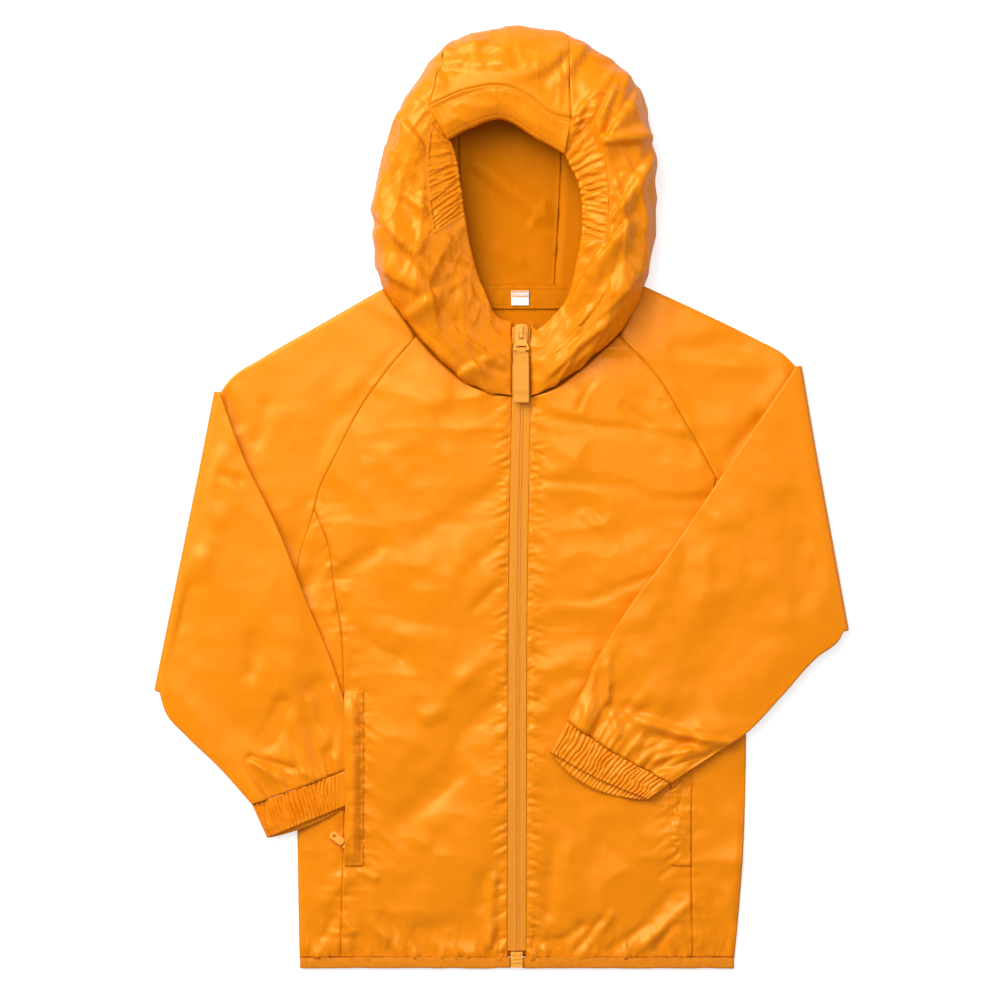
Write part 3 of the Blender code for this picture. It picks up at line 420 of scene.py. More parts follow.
chest = round(float(front_mid(60.0, 0.0)), 2)
print("zip line at the hem", zip_x(HEM_TOP), "mm; front height at the chest", chest, "mm")

# %% [markdown]
# ## Creases
#
# A crease is one row: where it starts and ends, half its width, and its height in millimetres.
# A trough has a negative height. Long bent creases are made of several rows.
# They were placed one by one, as uneven as on the real jacket.

# %% Creases of the front, the sleeves and the hood
BODY_CREASES = [
    (4.5, 12.2, -25.5, -10.1, 5, -0.9), (-25.5, -10.1, -59.1, -31.8, 7, -0.9),
    (-59.1, -31.8, -83.6, -33.2, 7, -0.8), (-83.6, -33.2, -113.7, -56.3, 4.5, -1),
    (-42.3, 65.5, -22, 74.5, 20, 1), (-95.5, 19.9, -64, 30.4, 14, 0.9),
    (-50, -56.3, -32.5, -50, 18, 1.2), (-80.1, -92.8, -36, -99.8, 6, 0.8),
    (-113.7, -75.9, -90.6, -101.8, 3.5, -0.8), (-90.6, -101.8, -71, -112.3, 3, -0.9),
    (-71, -112.3, -54.2, -127, 5, -0.6), (-16.4, -43.8, 3.1, -30.4, 2.6, -0.6),
    (-17.8, -75.9, -4.5, -63.3, 2.6, -0.6), (-51.4, -152.2, -10.1, -110.9, 5, 1.1),
    (0.3, -140.3, -25.5, -164.1, 5, -1), (-25.5, -164.1, -31.8, -190, 6, -1.2),
    (-31.8, -190, -50, -209.6, 6, -1.2), (-50, -209.6, -68.2, -225, 5, -0.8),
    (-64, -177.4, -50, -190, 14, 0.8), (-50, -246, -32.5, -221.5, 16, 0.9),
    (-5.9, -266.3, -8.8, -311.8, 2.6, 0.9), (1, -270.5, -1, -309, 3.2, -0.9),
    (-12.2, -267.1, -15, -285.2, 4, -0.9), (-90.6, -296.4, -72.4, -316, 2.2, 0.6),
    (-81.5, -291.5, -65.5, -309, 2.2, -0.5), (-115.1, -288.8, -123.5, -305.5, 2.2, -0.6),
    (-115.1, -288.8, -104.6, -302, 2.2, 0.7), (-99, -261.4, -87.8, -265.6, 1.8, 0.6),
    (-123.5, -281, -109.5, -267.1, 4, 0.6), (-57, -305.5, -36, -302, 6, -0.6),
    (24.1, 59.1, 66.8, 50, 2.6, -0.7), (66.8, 50, 103.2, 45.8, 3, -0.8),
    (103.2, 45.8, 134.8, 39.5, 3, -0.7), (54.2, 64, 63.3, 80.8, 2, -0.5),
    (85, 64, 103.9, 51.4, 2.6, -0.7), (96.9, 71.8, 112.3, 66.1, 2, -0.4),
    (40.9, 68.9, 75.9, 75.9, 12, 0.9), (110.9, 65.5, 128.4, 47.9, 7, 0.6),
    (40.9, 25.5, 86.4, 25.5, 9, 1.1), (107.4, 11.5, 138.9, 19.9, 9, 1.1),
    (30.4, 12.2, 90.6, 8.8, 3, -0.6), (90.6, 8.8, 107.4, -1, 3, -0.6), (107.4, -1, 138.9, -1, 3, -0.6),
    (57.7, -10.8, 81.5, -33.2, 2.6, 0.7), (81.5, -33.2, 116.5, -36, 2.6, 0.8),
    (51.4, -51.4, 96.9, -43, 14, 1.1), (30.4, -73.8, 61.9, -71, 3, -0.6),
    (61.9, -71, 112.3, -50, 3, -0.7), (19.9, -99, 68.9, -88.5, 9, -0.6),
    (21.3, -124.9, 63.3, -110.9, 5, 0.9), (21.3, -153.6, 51.4, -134, 4, 0.7),
    (30.4, -141, 40.9, -155, 5, -0.5), (36, -243.2, 33.2, -288.8, 4.5, -0.9),
    (43, -246, 42.3, -281, 8, 0.6), (24.1, -309.8, 40.9, -310.4, 2.4, -0.8),
    (40.9, -310.4, 56.3, -299.2, 2.6, -0.7), (51.4, -317.4, 69.6, -295, 2, -0.6),
    (58.4, -316, 77.3, -291.5, 2.2, 0.6), (77.3, -316, 103.2, -296.4, 2.4, -0.8),
    (103.2, -296.4, 117.9, -278.2, 3, -0.8), (96.9, -314.6, 131.9, -282.4, 2.4, 0.7),
    (107.4, -316, 119.3, -298.5, 2, -0.5), (110.9, -264.2, 121.4, -255.8, 1.6, -0.6),
    (138.9, -288, 143.1, -302, 2, -0.5), (163.4, -253, 158.5, -309, 8, 0.7),
    (149.4, -281, 154.3, -319.5, 6, -0.6), (82.9, -211, 103.9, -239, 12, 0.5),
    (-128.4, -43, -135.4, -64, 4, -0.9), (-133.3, -78, -115.8, -76.6, 2.4, 0.6),
    (-134, -29, -125.6, -15, 3, 0.5), (-123.5, -109.5, -114.4, -99, 2.2, 0.5),
]
SLEEVE_CREASES = [
    (-197, 79.4, -184.4, 51.4, 3, -0.8), (-165.5, 65.5, -170.4, 40.9, 3.5, -0.9),
    (-57, 124.9, -113, 68.9, 10, 0.5), (-141, 79.4, -151.5, 19.9, 18, 0.7),
    (-120, 54.9, -141, -1, 12, -0.5), (-172.5, -1, -148, -32.5, 3, -0.6),
    (154.3, 26.2, 180.2, 54.9, 4, -1.2), (124.9, 103.9, 166.9, 107.4, 5, -0.8),
    (131.9, 117.9, 138.9, 117.9, 8, 0.5), (163.4, 82.9, 166.9, 47.9, 14, 0.6),
    (187.9, 68.9, 201.9, 82.9, 10, 0.5),
]
FOREARM_CREASES = [
    (-193.5, 47.9, -206.1, -43, 16, 0.8), (-195.6, 16.4, -183, 12.9, 3, -0.6),
    (-207.5, -1, -211, -29, 8, -0.5), (-218, -64, -221.5, -99, 14, -0.7),
    (-170.4, -99, -176, -120, 7, -0.9), (-152.2, -144.5, -164.8, -169, 6, -1.1),
    (-127, -134, -123.5, -155, 8, -1.1), (-131.9, -141, -123.5, -172.5, 4, 0.9),
    (-113, -155, -117.9, -176, 3.5, -1), (-116.5, -134, -109.5, -155, 3, 0.9),
    (-174.6, -180.9, -141, -190, 2.4, -0.9), (-141, -190, -120, -204, 2.6, 1.1),
    (-173.9, -183, -148, -200.5, 2.4, 0.6), (-137.5, -204, -123.5, -211, 4, -0.9),
    (-141, -211, -128.4, -219.4, 2.2, 0.8), (-141, -226.4, -123.5, -219.4, 2, -0.7),
    (-104.6, -193.5, -88.5, -204, 3, -1), (-94.8, -186.5, -79.4, -190, 2.6, 0.8),
    (-88.5, -176, -85, -194.2, 3, 0.7), (-106.8, -197.8, -99, -190, 2.4, -0.6),
    (-106, -186.5, -90.6, -191.4, 5, -0.8), (96.9, -155, 127.7, -165.5, 3.5, 1),
    (127.7, -165.5, 158.5, -170.4, 3, 1), (96.9, -165.5, 131.9, -170.4, 4, -0.9),
    (138.9, -162, 149.4, -164.8, 6, 0.5), (77.3, -134, 81.5, -149.4, 3, -0.9),
    (86.4, -144.5, 96.9, -149.4, 2.2, -0.6), (61.9, -123.5, 49.3, -155, 3, -0.7),
    (67.5, -115.8, 71, -155, 4, -0.9), (73.8, -116.5, 73.1, -141, 3, 1), (57, -141, 60.5, -162, 2, 0.8),
    (50, -151.5, 54.9, -160.6, 1.8, -0.6), (77.3, -151.5, 81.5, -165.5, 2, 0.9),
    (82.9, -144.5, 91.3, -169, 2, -0.8), (88.5, -160.6, 94.1, -177.4, 1.8, 0.8),
    (96.9, -165.5, 94.1, -179.5, 1.8, 0.7), (100.4, -176, 110.9, -170.4, 2, -0.7),
    (107.4, -183, 131.9, -174.6, 2.2, 0.9), (110.9, -190, 138.9, -180.2, 2.2, -0.8),
    (131.9, -186.5, 156.4, -172.5, 2.6, -0.9), (180.9, -43, 201.9, -85, 24, 0.7),
    (152.9, -15, 138.9, -71, 20, 0.6), (110.9, -43, 96.9, -85, 20, 0.6),
    (208.9, -1, 215.9, -43, 14, -0.5), (152.9, -85, 138.9, -127, 18, -0.5),
    (96.9, -99, 110.9, -134, 14, 0.6),
]
HOOD_CREASES = [
    (-80.1, 243.2, -69.6, 210.3, 2.6, 2), (-69.6, 210.3, -54.9, 201.2, 2.8, 2),
    (-54.9, 201.2, -45.8, 190.8, 3.2, 1.8), (-72.4, 224.3, -68.2, 201.9, 8, -2.2),
    (-68.2, 198.4, -60.5, 191.4, 7, -1.4), (-75.2, 240.4, -58.4, 222.9, 1.8, 0.9),
    (-71, 236.9, -57, 212.4, 1.8, -0.9), (-67.5, 215.9, -52.8, 206.8, 2, 0.8),
    (-45.8, 189.3, -51.4, 185.1, 3, 1), (-45.8, 189.3, -32.5, 173.9, 2.6, 1.2),
    (-32.5, 173.9, -17.8, 158.5, 3, 1), (-40.2, 165.5, -16.4, 158.5, 2.4, -0.9),
    (-64, 180.9, -43, 176.8, 8, 0.8), (-76.6, 161.3, -50, 138.9, 8, 1),
    (-50, 151.5, -39.5, 117.9, 8, -0.9), (-34.6, 145.9, -23.4, 155.8, 2, 0.9),
    (-23.4, 155.8, -13.6, 138.9, 2.2, -0.8), (-27.6, 138.9, -36, 126.3, 5, 0.8),
    (-32.5, 117.9, -15, 102.5, 4, 0.9), (-22, 107.4, -1, 93.4, 3, 0.8),
    (-16.4, 95.5, 2.4, 87.1, 2, -0.7), (-58.4, 140.3, -48.6, 121.4, 6, -0.8),
    (-76.6, 275.4, -60.5, 278.9, 7, 0.6), (-60.5, 282.4, -51.4, 273.3, 3, -0.7),
    (-43, 318.1, -34.6, 308.3, 2, 0.7), (-38.8, 320.9, -27.6, 306.9, 1.8, -0.7),
    (-32.5, 308.3, -16.4, 305.5, 1.8, 0.7), (-27.6, 302.8, -10.8, 318.1, 2, 0.8),
    (-22, 299.9, -1, 310.4, 2.2, -0.7), (-51.4, 299.9, -36, 294.3, 2, -0.6),
    (-45.8, 305.5, -30.4, 298.5, 1.8, 0.6), (-48.6, 292.9, -22, 301.3, 2.2, -0.7),
    (6.6, 293.6, 18.5, 302, 2, 1), (18.5, 302, 40.2, 306.2, 2.2, 1), (-5.2, 302.8, 2.4, 308.3, 2, 0.8),
    (-15, 298.5, -6.6, 288.8, 3, 0.9), (-2.4, 291.5, 7.3, 284.5, 2.6, -0.7),
    (29.7, 290.1, 40.2, 285.9, 2.2, -0.9), (16.4, 282.4, 38.1, 266.3, 2.2, -0.8),
    (40.9, 292.9, 39.5, 278.9, 2, 0.6), (40.9, 306.9, 42.3, 292.9, 2, -0.5),
    (53.5, 299.9, 50.8, 285.9, 5, -1.2), (47.9, 315.3, 63.3, 308.3, 6, 0.8),
    (59.1, 255.1, 66.8, 272.6, 2.2, 1.2), (54.9, 257.9, 61.9, 276.1, 2, -1),
    (71.8, 252.3, 84.3, 297.8, 2.2, -1.6), (76.6, 252.3, 88.5, 292.9, 3, 1.2),
    (71.8, 246.7, 80.8, 250.9, 2.4, 1.4), (80.8, 250.9, 96.9, 248.1, 2.4, 1.4),
    (96.9, 248.1, 94.8, 231.3, 3, 1.2), (81.5, 236.9, 85.8, 226.4, 9, -2.2),
    (89.9, 222.9, 91.3, 180.9, 5, -1.2), (96.9, 243.9, 100.4, 187.9, 3, 0.9),
    (84.3, 222.9, 77.3, 211.8, 2.2, 1.1), (77.3, 211.8, 87.1, 204.8, 2.2, 0.9),
    (73.1, 208.9, 67.5, 197.8, 2, -0.9), (75.2, 193.5, 54.9, 168.3, 2.4, 1.1),
    (81.5, 197.8, 61.9, 165.5, 2.4, -1), (68.9, 200.5, 59.1, 186.5, 1.8, 0.8),
    (77.3, 186.5, 66.1, 165.5, 2, 0.9), (71.8, 176.8, 57.7, 155.8, 3, -0.7),
    (58.4, 159.9, 68.9, 145.9, 9, 1.2), (86.4, 170.4, 89.9, 156.4, 8, -1.2),
    (40.9, 107.4, 68.9, 138.9, 2.4, 1), (46.5, 103.9, 77.3, 138.9, 2.4, -0.9),
    (35.3, 99.8, 54.9, 117.9, 1.8, 0.9), (30.4, 95.5, 51.4, 107.4, 1.6, -0.8),
    (40.9, 88.5, 61.9, 102.5, 2.4, 0.9), (32.5, 88.5, 44.4, 84.3, 1.6, 0.7),
    (68.9, 117.9, 89.9, 145.9, 4, 0.9),
]
FLOOR_CREASES = [
    (-15, 233.4, 30.4, 198.4, 7, 2), (-22, 222.9, 12.9, 184.4, 7, -0.8),
    (19.9, 189.3, 30.4, 205.4, 3, 1), (23.4, 186.5, 35.3, 173.9, 4, 0.9),
    (-1, 173.9, 12.9, 165.5, 5, 0.9),
]
# start x and y, end x and y, half width of the steep side and of the gentle side, height
HOOD_LAPS = [
    (-112, 235, -93, 206, 3.5, 12, 4.0), (-93, 206, -82, 193, 3, 9, 4.0),
    (-82, 193, -64, 172, 3, 8, 3.5), (-64, 172, -52, 156, 3, 8, 2.5), (-85, 186, -108, 180, 5, 12, 3.0),
    (-52, 138, -70, 124, 3, 9, 2.0), (84, 297, 58, 241, 3, 8, 3.0), (74, 292, 50, 262, 2.6, 7, 2.2),
    (96, 286, 66, 236, 3, 9, 2.5), (76, 246, 103, 250, 4, 8, 3.5), (103, 236, 84, 204, 3, 8, 3.0),
    (84, 204, 70, 186, 3, 7, 2.5), (84, 186, 62, 158, 3, 8, 2.8), (66, 168, 52, 140, 2.6, 7, 2.2),
    (8, 288, 40, 305, 2.4, 9, 2.0), (-58, 300, -22, 312, 2.4, 8, 1.8), (-40, 288, -58, 316, 3, 8, 1.8),
    (-30, 300, 4, 297, 2.5, 7, 1.5), (50, 300, 62, 318, 3, 8, 2.0), (-60, 250, -78, 276, 3, 9, 2.0),
    (-96, 168, -66, 150, 4, 10, 2.2), (62, 120, 92, 152, 3, 9, 2.4), (40, 92, 66, 116, 2.6, 8, 2.0),
    (-40, 100, -62, 122, 3, 9, 2.2), (-14, 96, -36, 84, 2.4, 8, 1.6),
]
print(len(BODY_CREASES), "creases on the front,", len(HOOD_CREASES), "on the hood")

# %% [markdown]
# ## Fine unevenness
#
# Between its creases the cloth still ripples, and beside a seam it is drawn into small puckers.
# Both come from one smooth random height. It is worked out from the place alone,
# so it is the same each time.


# %% Ripples, puckers and grooves
def soft_noise(x, y, seed=0):
    """A smooth random height between -1 and 1, with about one bump to a unit square."""
    x, y = np.broadcast_arrays(np.asarray(x, float), np.asarray(y, float))
    i, j = np.floor(x), np.floor(y)
    a, b = x - i, y - j
    a = a * a * a * (a * (6 * a - 15) + 10)
    b = b * b * b * (b * (6 * b - 15) + 10)

    def corner(column, row):
        mixed = np.sin(column * 127.1 + row * 311.7 + seed * 74.7) * 43758.5453
        return 2 * (mixed - np.floor(mixed)) - 1

    low = (1 - a) * corner(i, j) + a * corner(i + 1, j)
    high = (1 - a) * corner(i, j + 1) + a * corner(i + 1, j + 1)
    return (1 - b) * low + b * high


def creases(x, y, rows, widen=1.5):
    """Height of the listed creases. Where two of a kind meet, the stronger one counts."""
    up, down = np.zeros(x.shape), np.zeros(x.shape)
    for x0, y0, x1, y1, width, rise in rows:
        value = folds(x, y, [(x0, y0, x1, y1, widen * width, rise)])
        up, down = np.maximum(up, value), np.minimum(down, value)
    return (up + down) * (0.8 + 0.45 * soft_noise(x / 14, y / 14, 15))


def facets(x, y, seed=0):
    """Crumpled cloth: soft hollows between sharp bent ridges, from -1 to 1."""
    bend = 0.35 * soft_noise(x * 0.7, y * 0.7, seed + 5)
    large = np.abs(soft_noise(x + bend, y - bend, seed))
    small = np.abs(soft_noise(2.1 * x, 2.1 * y + bend, seed + 1))
    return 0.75 - 2 * large - 0.5 * small


STEEPER = 0.65


def laps(x, y, rows):
    """Folds with one steep side, to the right of the way from start to end, and one gentle side."""
    height = np.zeros_like(np.asarray(x, float))
    for x0, y0, x1, y1, steep, gentle, rise in rows:
        length = math.hypot(x1 - x0, y1 - y0)
        along = ((x - x0) * (x1 - x0) + (y - y0) * (y1 - y0)) / length
        off = ((x - x0) * (y1 - y0) - (y - y0) * (x1 - x0)) / length
        past = np.maximum(0, np.abs(along - length / 2) - length / 2)
        width = np.where(off > 0, STEEPER * steep, gentle)
        height = np.maximum(height, rise * np.exp(-((off / width) ** 2) - (past / (steep + gentle)) ** 2))
    return height


def near(x, y, path, steps=70):
    """Distance in plan from each point to a path, and how far along the path it is."""
    line = path(np.linspace(0, 1, steps + 1))[:, :2]
    best, along, done = np.full(x.shape, np.inf), np.zeros(x.shape), 0.0
    for start, end in zip(line[:-1], line[1:]):
        way = end - start
        length = math.hypot(*way)
        t = np.clip(((x - start[0]) * way[0] + (y - start[1]) * way[1]) / length**2, 0, 1)
        off = np.hypot(x - start[0] - t * way[0], y - start[1] - t * way[1])
        along = np.where(off < best, done + t * length, along)
        best = np.minimum(best, off)
        done += length
    return best, along


def seam_relief(off, along, seed, depth=0.5, pull=0.22, reach=5.0, pitch=2.6):
    """A seam's groove, and the puckers that its thread draws the cloth into on both sides."""
    groove = -depth * bell(off, 0, 0.55)
    pucker = pull * soft_noise(along / pitch, off / 9, seed) * np.exp(-off / reach) * ramp(off, 0.2, 1.6)
    return groove + pucker


def side_x(y):
    """x of the jacket's left and right side seams."""
    left, right = (
        np.array(sorted(rows, key=lambda row: row[1]), float) for rows in (SIDE_LEFT, SIDE_RIGHT)
    )
    return np.interp(y, left[:, 1], left[:, 0]), np.interp(y, right[:, 1], right[:, 0])


# The long seams of the front, with how strongly each draws its cloth in
BODY_SEAMS = [(PRINCESS_LEFT, 0.95), (PRINCESS_RIGHT, 0.95), (RAGLAN_LEFT, 0.3), (RAGLAN_RIGHT, 0.3)]
LOW_UNDER_SLEEVE = 5.2  # the front stays under this height where a sleeve lies on it
CUFF_LEVEL = -225  # the creases are deeper below the cuffs


def beside_zip_relief(x, y, to_zip):
    """Puckers that the zip's stitching draws, the dip of its stitch line and the turned edge."""
    strength = np.where(x > zip_x(y), 1.5, 1.25)
    pucker = soft_noise(y / 3.1 + to_zip / 7, x / 13, 7)
    pucker += 0.5 * soft_noise(y / 1.7 - to_zip / 12, x / 9, 8)
    relief = strength * pucker * np.exp(-((to_zip / 8) ** 1.3)) * ramp(to_zip, 0.3, 2.5)
    return relief - 0.4 * bell(to_zip, 1.9, 0.5) - 0.9 * (1 - ramp(to_zip, 0, 1.2))


def hem_relief(x, y, to_zip):
    """Gathers above the elastic binding, and the dip at its edge."""
    to_hem = np.maximum(y - HEM_TOP, 0)
    gather = 2.1 * soft_noise(x / 4.6 + to_hem / 24, to_hem / 18, 9)
    gather += 0.9 * soft_noise(x / 2.1 - to_hem / 22, to_hem / 9, 10)
    gather *= np.exp(-((to_hem / 15) ** 1.4)) * ramp(to_zip, 0, 5)
    return gather - 0.7 * (1 - ramp(y, HEM_TOP - 0.8, HEM_TOP + 1.4))


def beside_welt_relief(x, y, welt):
    """Puckers and a groove beside the edge that a welt is sewn down along."""
    free, sewn, top, low = welt
    off = np.where(sewn > free, x - sewn, sewn - x)
    drawn = np.exp(-((np.maximum(off - 0.6, 0) / 7) ** 1.5)) * (off > -6)
    drawn = drawn * ramp(y, low - 6, low + 4) * ramp(y, top + 6, top - 4)
    pucker = 1.0 * soft_noise(y / 4.2 + off / 6, x / 12, 12) + 0.35 * soft_noise(y / 2.0, x / 8, 13)
    groove = 0.35 * bell(off, 1.2, 0.6) * ramp(y, low - 1, low) * ramp(y, top + 1, top)
    return drawn * pucker - groove


def body_height(x, y):
    """Middle height of the front layer with its creases, gathers, puckers and seam grooves."""
    x, y = np.broadcast_arrays(np.asarray(x, float), np.asarray(y, float))
    to_zip = np.maximum(np.abs(x - zip_x(y)) - ZIP_HALF, 0)
    deeper = 1.8 + 1.4 * ramp(y, CUFF_LEVEL, CUFF_LEVEL - 40)
    detail = deeper * creases(x, y, BODY_CREASES) * ramp(to_zip, 0, 8)
    ripple = 0.5 * soft_noise(x / 19, y / 26, 3) + 0.10 * soft_noise(x / 7, y / 8, 5)
    detail += ripple * ramp(to_zip, 0, 12)
    detail += 0.7 * facets(x / 40 + y / 90, y / 30, 11) * ramp(to_zip, 2, 20)
    detail += beside_zip_relief(x, y, to_zip) + hem_relief(x, y, to_zip)
    for welt in (WELT_LEFT, WELT_RIGHT):
        detail += beside_welt_relief(x, y, welt)
    for number, (rows, pull) in enumerate(BODY_SEAMS):
        off, along = near(x, y, curve(rows))
        detail += seam_relief(off, along, 20 + number, depth=0.4, pull=pull, reach=6.5, pitch=3.3)
    left, right = side_x(y)
    to_side = np.minimum(x - left, right - x)
    detail -= 1.1 * (1 - ramp(to_side, 0, 3.5)) * (y < -60)
    between_sleeves = ramp(x, -100, -70) * ramp(x, 65, 45)
    most = LOW_UNDER_SLEEVE - 1.2 * ramp(x, -94, -108) + 2.2 * between_sleeves
    most = most + 2.5 * ramp(y, -250, -262)
    return np.clip(front_mid(x, y) + detail, BACK_MID + 0.35, most)


spots = np.linspace(-120, 120, 9)
print("front heights across the chest", np.round(body_height(spots, np.full(9, -60.0)), 1))

# %% [markdown]
# ## A sheet of cloth
#
# Every panel is a grid of points about the middle of the cloth. Its faces are quads, so
# that it shades smoothly, and a Solidify modifier gives it the thickness of thin nylon.
# The map follows the threads of the cloth in metres, so the weave runs with the panel.


# %% A helper that turns a grid of points into a panel
SHELL = 0.36
BODY = "jacket"


def lengths(points, axis):
    """Distance from the grid's first row or column to each point, measured over the cloth."""
    steps = np.linalg.norm(np.diff(points, axis=axis), axis=2)
    return np.concatenate([np.zeros_like(steps.take([0], axis)), np.cumsum(steps, axis)], axis)


def facing(points, closed=False):
    """The direction in which the cloth faces at each point."""
    wide = np.concatenate([points[:, -1:], points, points[:, :1]], axis=1) if closed else points
    across, along = np.gradient(wide, axis=1), np.gradient(wide, axis=0)
    way = np.cross(across, along)
    way /= np.maximum(np.linalg.norm(way, axis=2, keepdims=True), 1e-9)
    return way[:, 1:-1] if closed else way


def cloth(
    name, points, look, closed=False, keep=None, shell=SHELL,
    body=BODY, inside=None,
):
    """A sheet of cloth over a grid of points in millimetres, in place of the solid of that name.

    closed joins the last column to the first, keep says which squares are built,
    and inside is another finish for the hidden face.
    """
    if closed:
        points = np.concatenate([points, points[:, :1]], axis=1)
    rows, columns = points.shape[:2]
    index = np.arange(rows * columns).reshape(rows, columns)
    merged = index.copy()
    if closed:
        merged[:, -1] = merged[:, 0]
    squares = np.stack([merged[:-1, :-1], merged[:-1, 1:], merged[1:, 1:], merged[1:, :-1]], -1)
    corners = np.stack([index[:-1, :-1], index[:-1, 1:], index[1:, 1:], index[1:, :-1]], -1)
    if keep is not None:
        squares, corners = squares[keep], corners[keep]
    squares, corners = squares.reshape(-1, 4), corners.reshape(-1, 4)
    used, faces = np.unique(squares, return_inverse=True)
    mesh = bpy.data.meshes.new(name + "_cloth")
    mesh.from_pydata((points.reshape(-1, 3)[used] * MM).tolist(), [], faces.reshape(-1, 4).tolist())
    plan = np.stack([lengths(points, 1), lengths(points, 0)], -1).reshape(-1, 2)
    threads = mesh.uv_layers.new(name="threads")
    threads.data.foreach_set("uv", (plan[corners.reshape(-1)] * MM).astype(np.float32).ravel())
    mesh.shade_smooth()
    mesh.materials.append(look)
    panel = bpy.data.objects.new(name + "_cloth", mesh)
    bpy.context.collection.objects.link(panel)
    wall = panel.modifiers.new("cloth thickness", "SOLIDIFY")
    wall.thickness = shell * MM
    wall.offset = 0
    if inside is not None:
        mesh.materials.append(inside)
        wall.material_offset = 1
        wall.material_offset_rim = 0
    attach(panel, body)
    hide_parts(name)
    return panel

# %% [markdown]
# ## The cloth's finish
#
# The nylon is bright orange, smooth and glossy, with a plain weave too fine to see as threads.
# What shows is a faint drift of its colour, a fine grain in its gloss and small crinkles.
# Each of these is a node group with its own inputs, so that the tape, the elastic and the thread
# can use it too.


# %% Groups for the weave, the crinkles and the colour drift
def new_group(name, inputs, outputs):
    group = bpy.data.node_groups.new(name, "ShaderNodeTree")
    for label, value in inputs:
        made = group.interface.new_socket(label, in_out="INPUT", socket_type="NodeSocketFloat")
        made.default_value = value
    for label in outputs:
        group.interface.new_socket(label, in_out="OUTPUT", socket_type="NodeSocketFloat")
    return group, group.nodes.new("NodeGroupInput"), group.nodes.new("NodeGroupOutput")


def calculate(tree, kind, first, second=None):
    node = tree.nodes.new("ShaderNodeMath")
    node.operation = kind
    for socket, value in zip(node.inputs, (first, second)):
        if isinstance(value, (int, float)):
            socket.default_value = value
        elif value is not None:
            tree.links.new(value, socket)
    return node.outputs[0]


def place_scaled(tree, coordinates, size):
    """The piece's coordinates, divided by a size in metres."""
    scaled = tree.nodes.new("ShaderNodeVectorMath")
    scaled.operation = "SCALE"
    tree.links.new(coordinates, scaled.inputs[0])
    tree.links.new(calculate(tree, "DIVIDE", 1.0, size), scaled.inputs["Scale"])
    return scaled.outputs[0]


weave, entry, leave = new_group("woven threads", [("Thread size", 0.0005)], ["Height"])
where = weave.nodes.new("ShaderNodeTexCoord")
scaled = place_scaled(weave, where.outputs["UV"], entry.outputs["Thread size"])
apart = weave.nodes.new("ShaderNodeSeparateXYZ")
weave.links.new(scaled, apart.inputs[0])
warp = calculate(weave, "SINE", calculate(weave, "MULTIPLY", apart.outputs[0], 2 * math.pi))
weft = calculate(weave, "SINE", calculate(weave, "MULTIPLY", apart.outputs[1], 2 * math.pi))
weave.links.new(calculate(weave, "MULTIPLY", warp, weft), leave.inputs["Height"])

crinkle, entry, leave = new_group("fine crinkles", [("Size", 0.012)], ["Height"])
where = crinkle.nodes.new("ShaderNodeTexCoord")
scaled = place_scaled(crinkle, where.outputs["Object"], entry.outputs["Size"])
wander = crinkle.nodes.new("ShaderNodeTexNoise")
wander.inputs["Scale"].default_value = 0.7
wander.inputs["Detail"].default_value = 2
crinkle.links.new(scaled, wander.inputs["Vector"])
bent = crinkle.nodes.new("ShaderNodeVectorMath")
bent.operation = "MULTIPLY_ADD"
crinkle.links.new(wander.outputs["Color"], bent.inputs[0])
bent.inputs[1].default_value = (1.6, 1.6, 1.6)
crinkle.links.new(scaled, bent.inputs[2])
ridged = crinkle.nodes.new("ShaderNodeTexNoise")
ridged.inputs["Scale"].default_value = 1.0
ridged.inputs["Detail"].default_value = 3
ridged.inputs["Roughness"].default_value = 0.45
crinkle.links.new(bent.outputs[0], ridged.inputs["Vector"])
fold = calculate(crinkle, "ABSOLUTE", calculate(crinkle, "SUBTRACT", ridged.outputs["Fac"], 0.5))
crest = calculate(crinkle, "POWER", calculate(crinkle, "SUBTRACT", 1.0, fold), 6.0)
crinkle.links.new(crest, leave.inputs["Height"])

drift, entry, leave = new_group("colour drift", [("Size", 0.05)], ["Amount"])
where = drift.nodes.new("ShaderNodeTexCoord")
cloudy = drift.nodes.new("ShaderNodeTexNoise")
cloudy.inputs["Detail"].default_value = 4
scaled = place_scaled(drift, where.outputs["Object"], entry.outputs["Size"])
drift.links.new(scaled, cloudy.inputs["Vector"])
drift.links.new(cloudy.outputs["Fac"], leave.inputs["Amount"])
print("groups", [g.name for g in bpy.data.node_groups])

# %% [markdown]
# ## Materials
#
# One function builds each woven finish from two near colours, its gloss, its threads and its crinkles.
# The shader itself stays in the material, and only its colour, roughness and normal are driven.


# %% Woven finishes
def put_group(material, name, values):
    node = material.node_tree.nodes.new("ShaderNodeGroup")
    node.node_tree = bpy.data.node_groups[name]
    for label, value in values.items():
        node.inputs[label].default_value = value
    return node.outputs


def bumped(tree, height, distance, below=None):
    """A normal raised by a height of 0 to 1 times a distance in metres, over the normal below it."""
    node = tree.nodes.new("ShaderNodeBump")
    node.inputs["Distance"].default_value = distance
    tree.links.new(height, node.inputs["Height"])
    if below is not None:
        tree.links.new(below, node.inputs["Normal"])
    return node.outputs[0]


def between(tree, amount, low, high):
    """A drifting amount spread from low to high."""
    node = tree.nodes.new("ShaderNodeMapRange")
    tree.links.new(amount, node.inputs["Value"])
    for label, value in zip(("From Min", "From Max", "To Min", "To Max"), (0.3, 0.7, low, high)):
        node.inputs[label].default_value = value
    return node.outputs[0]


BASE_SLOT, LIGHT_SLOT, MIXED_SLOT = 6, 7, 2  # colour sockets of the mix node
COLOUR_PATCH = 0.045  # size of the drift of a cloth's colour, in metres
GLOSS_TINT = (1.0, 0.50, 0.27)  # an orange cloth's gleam


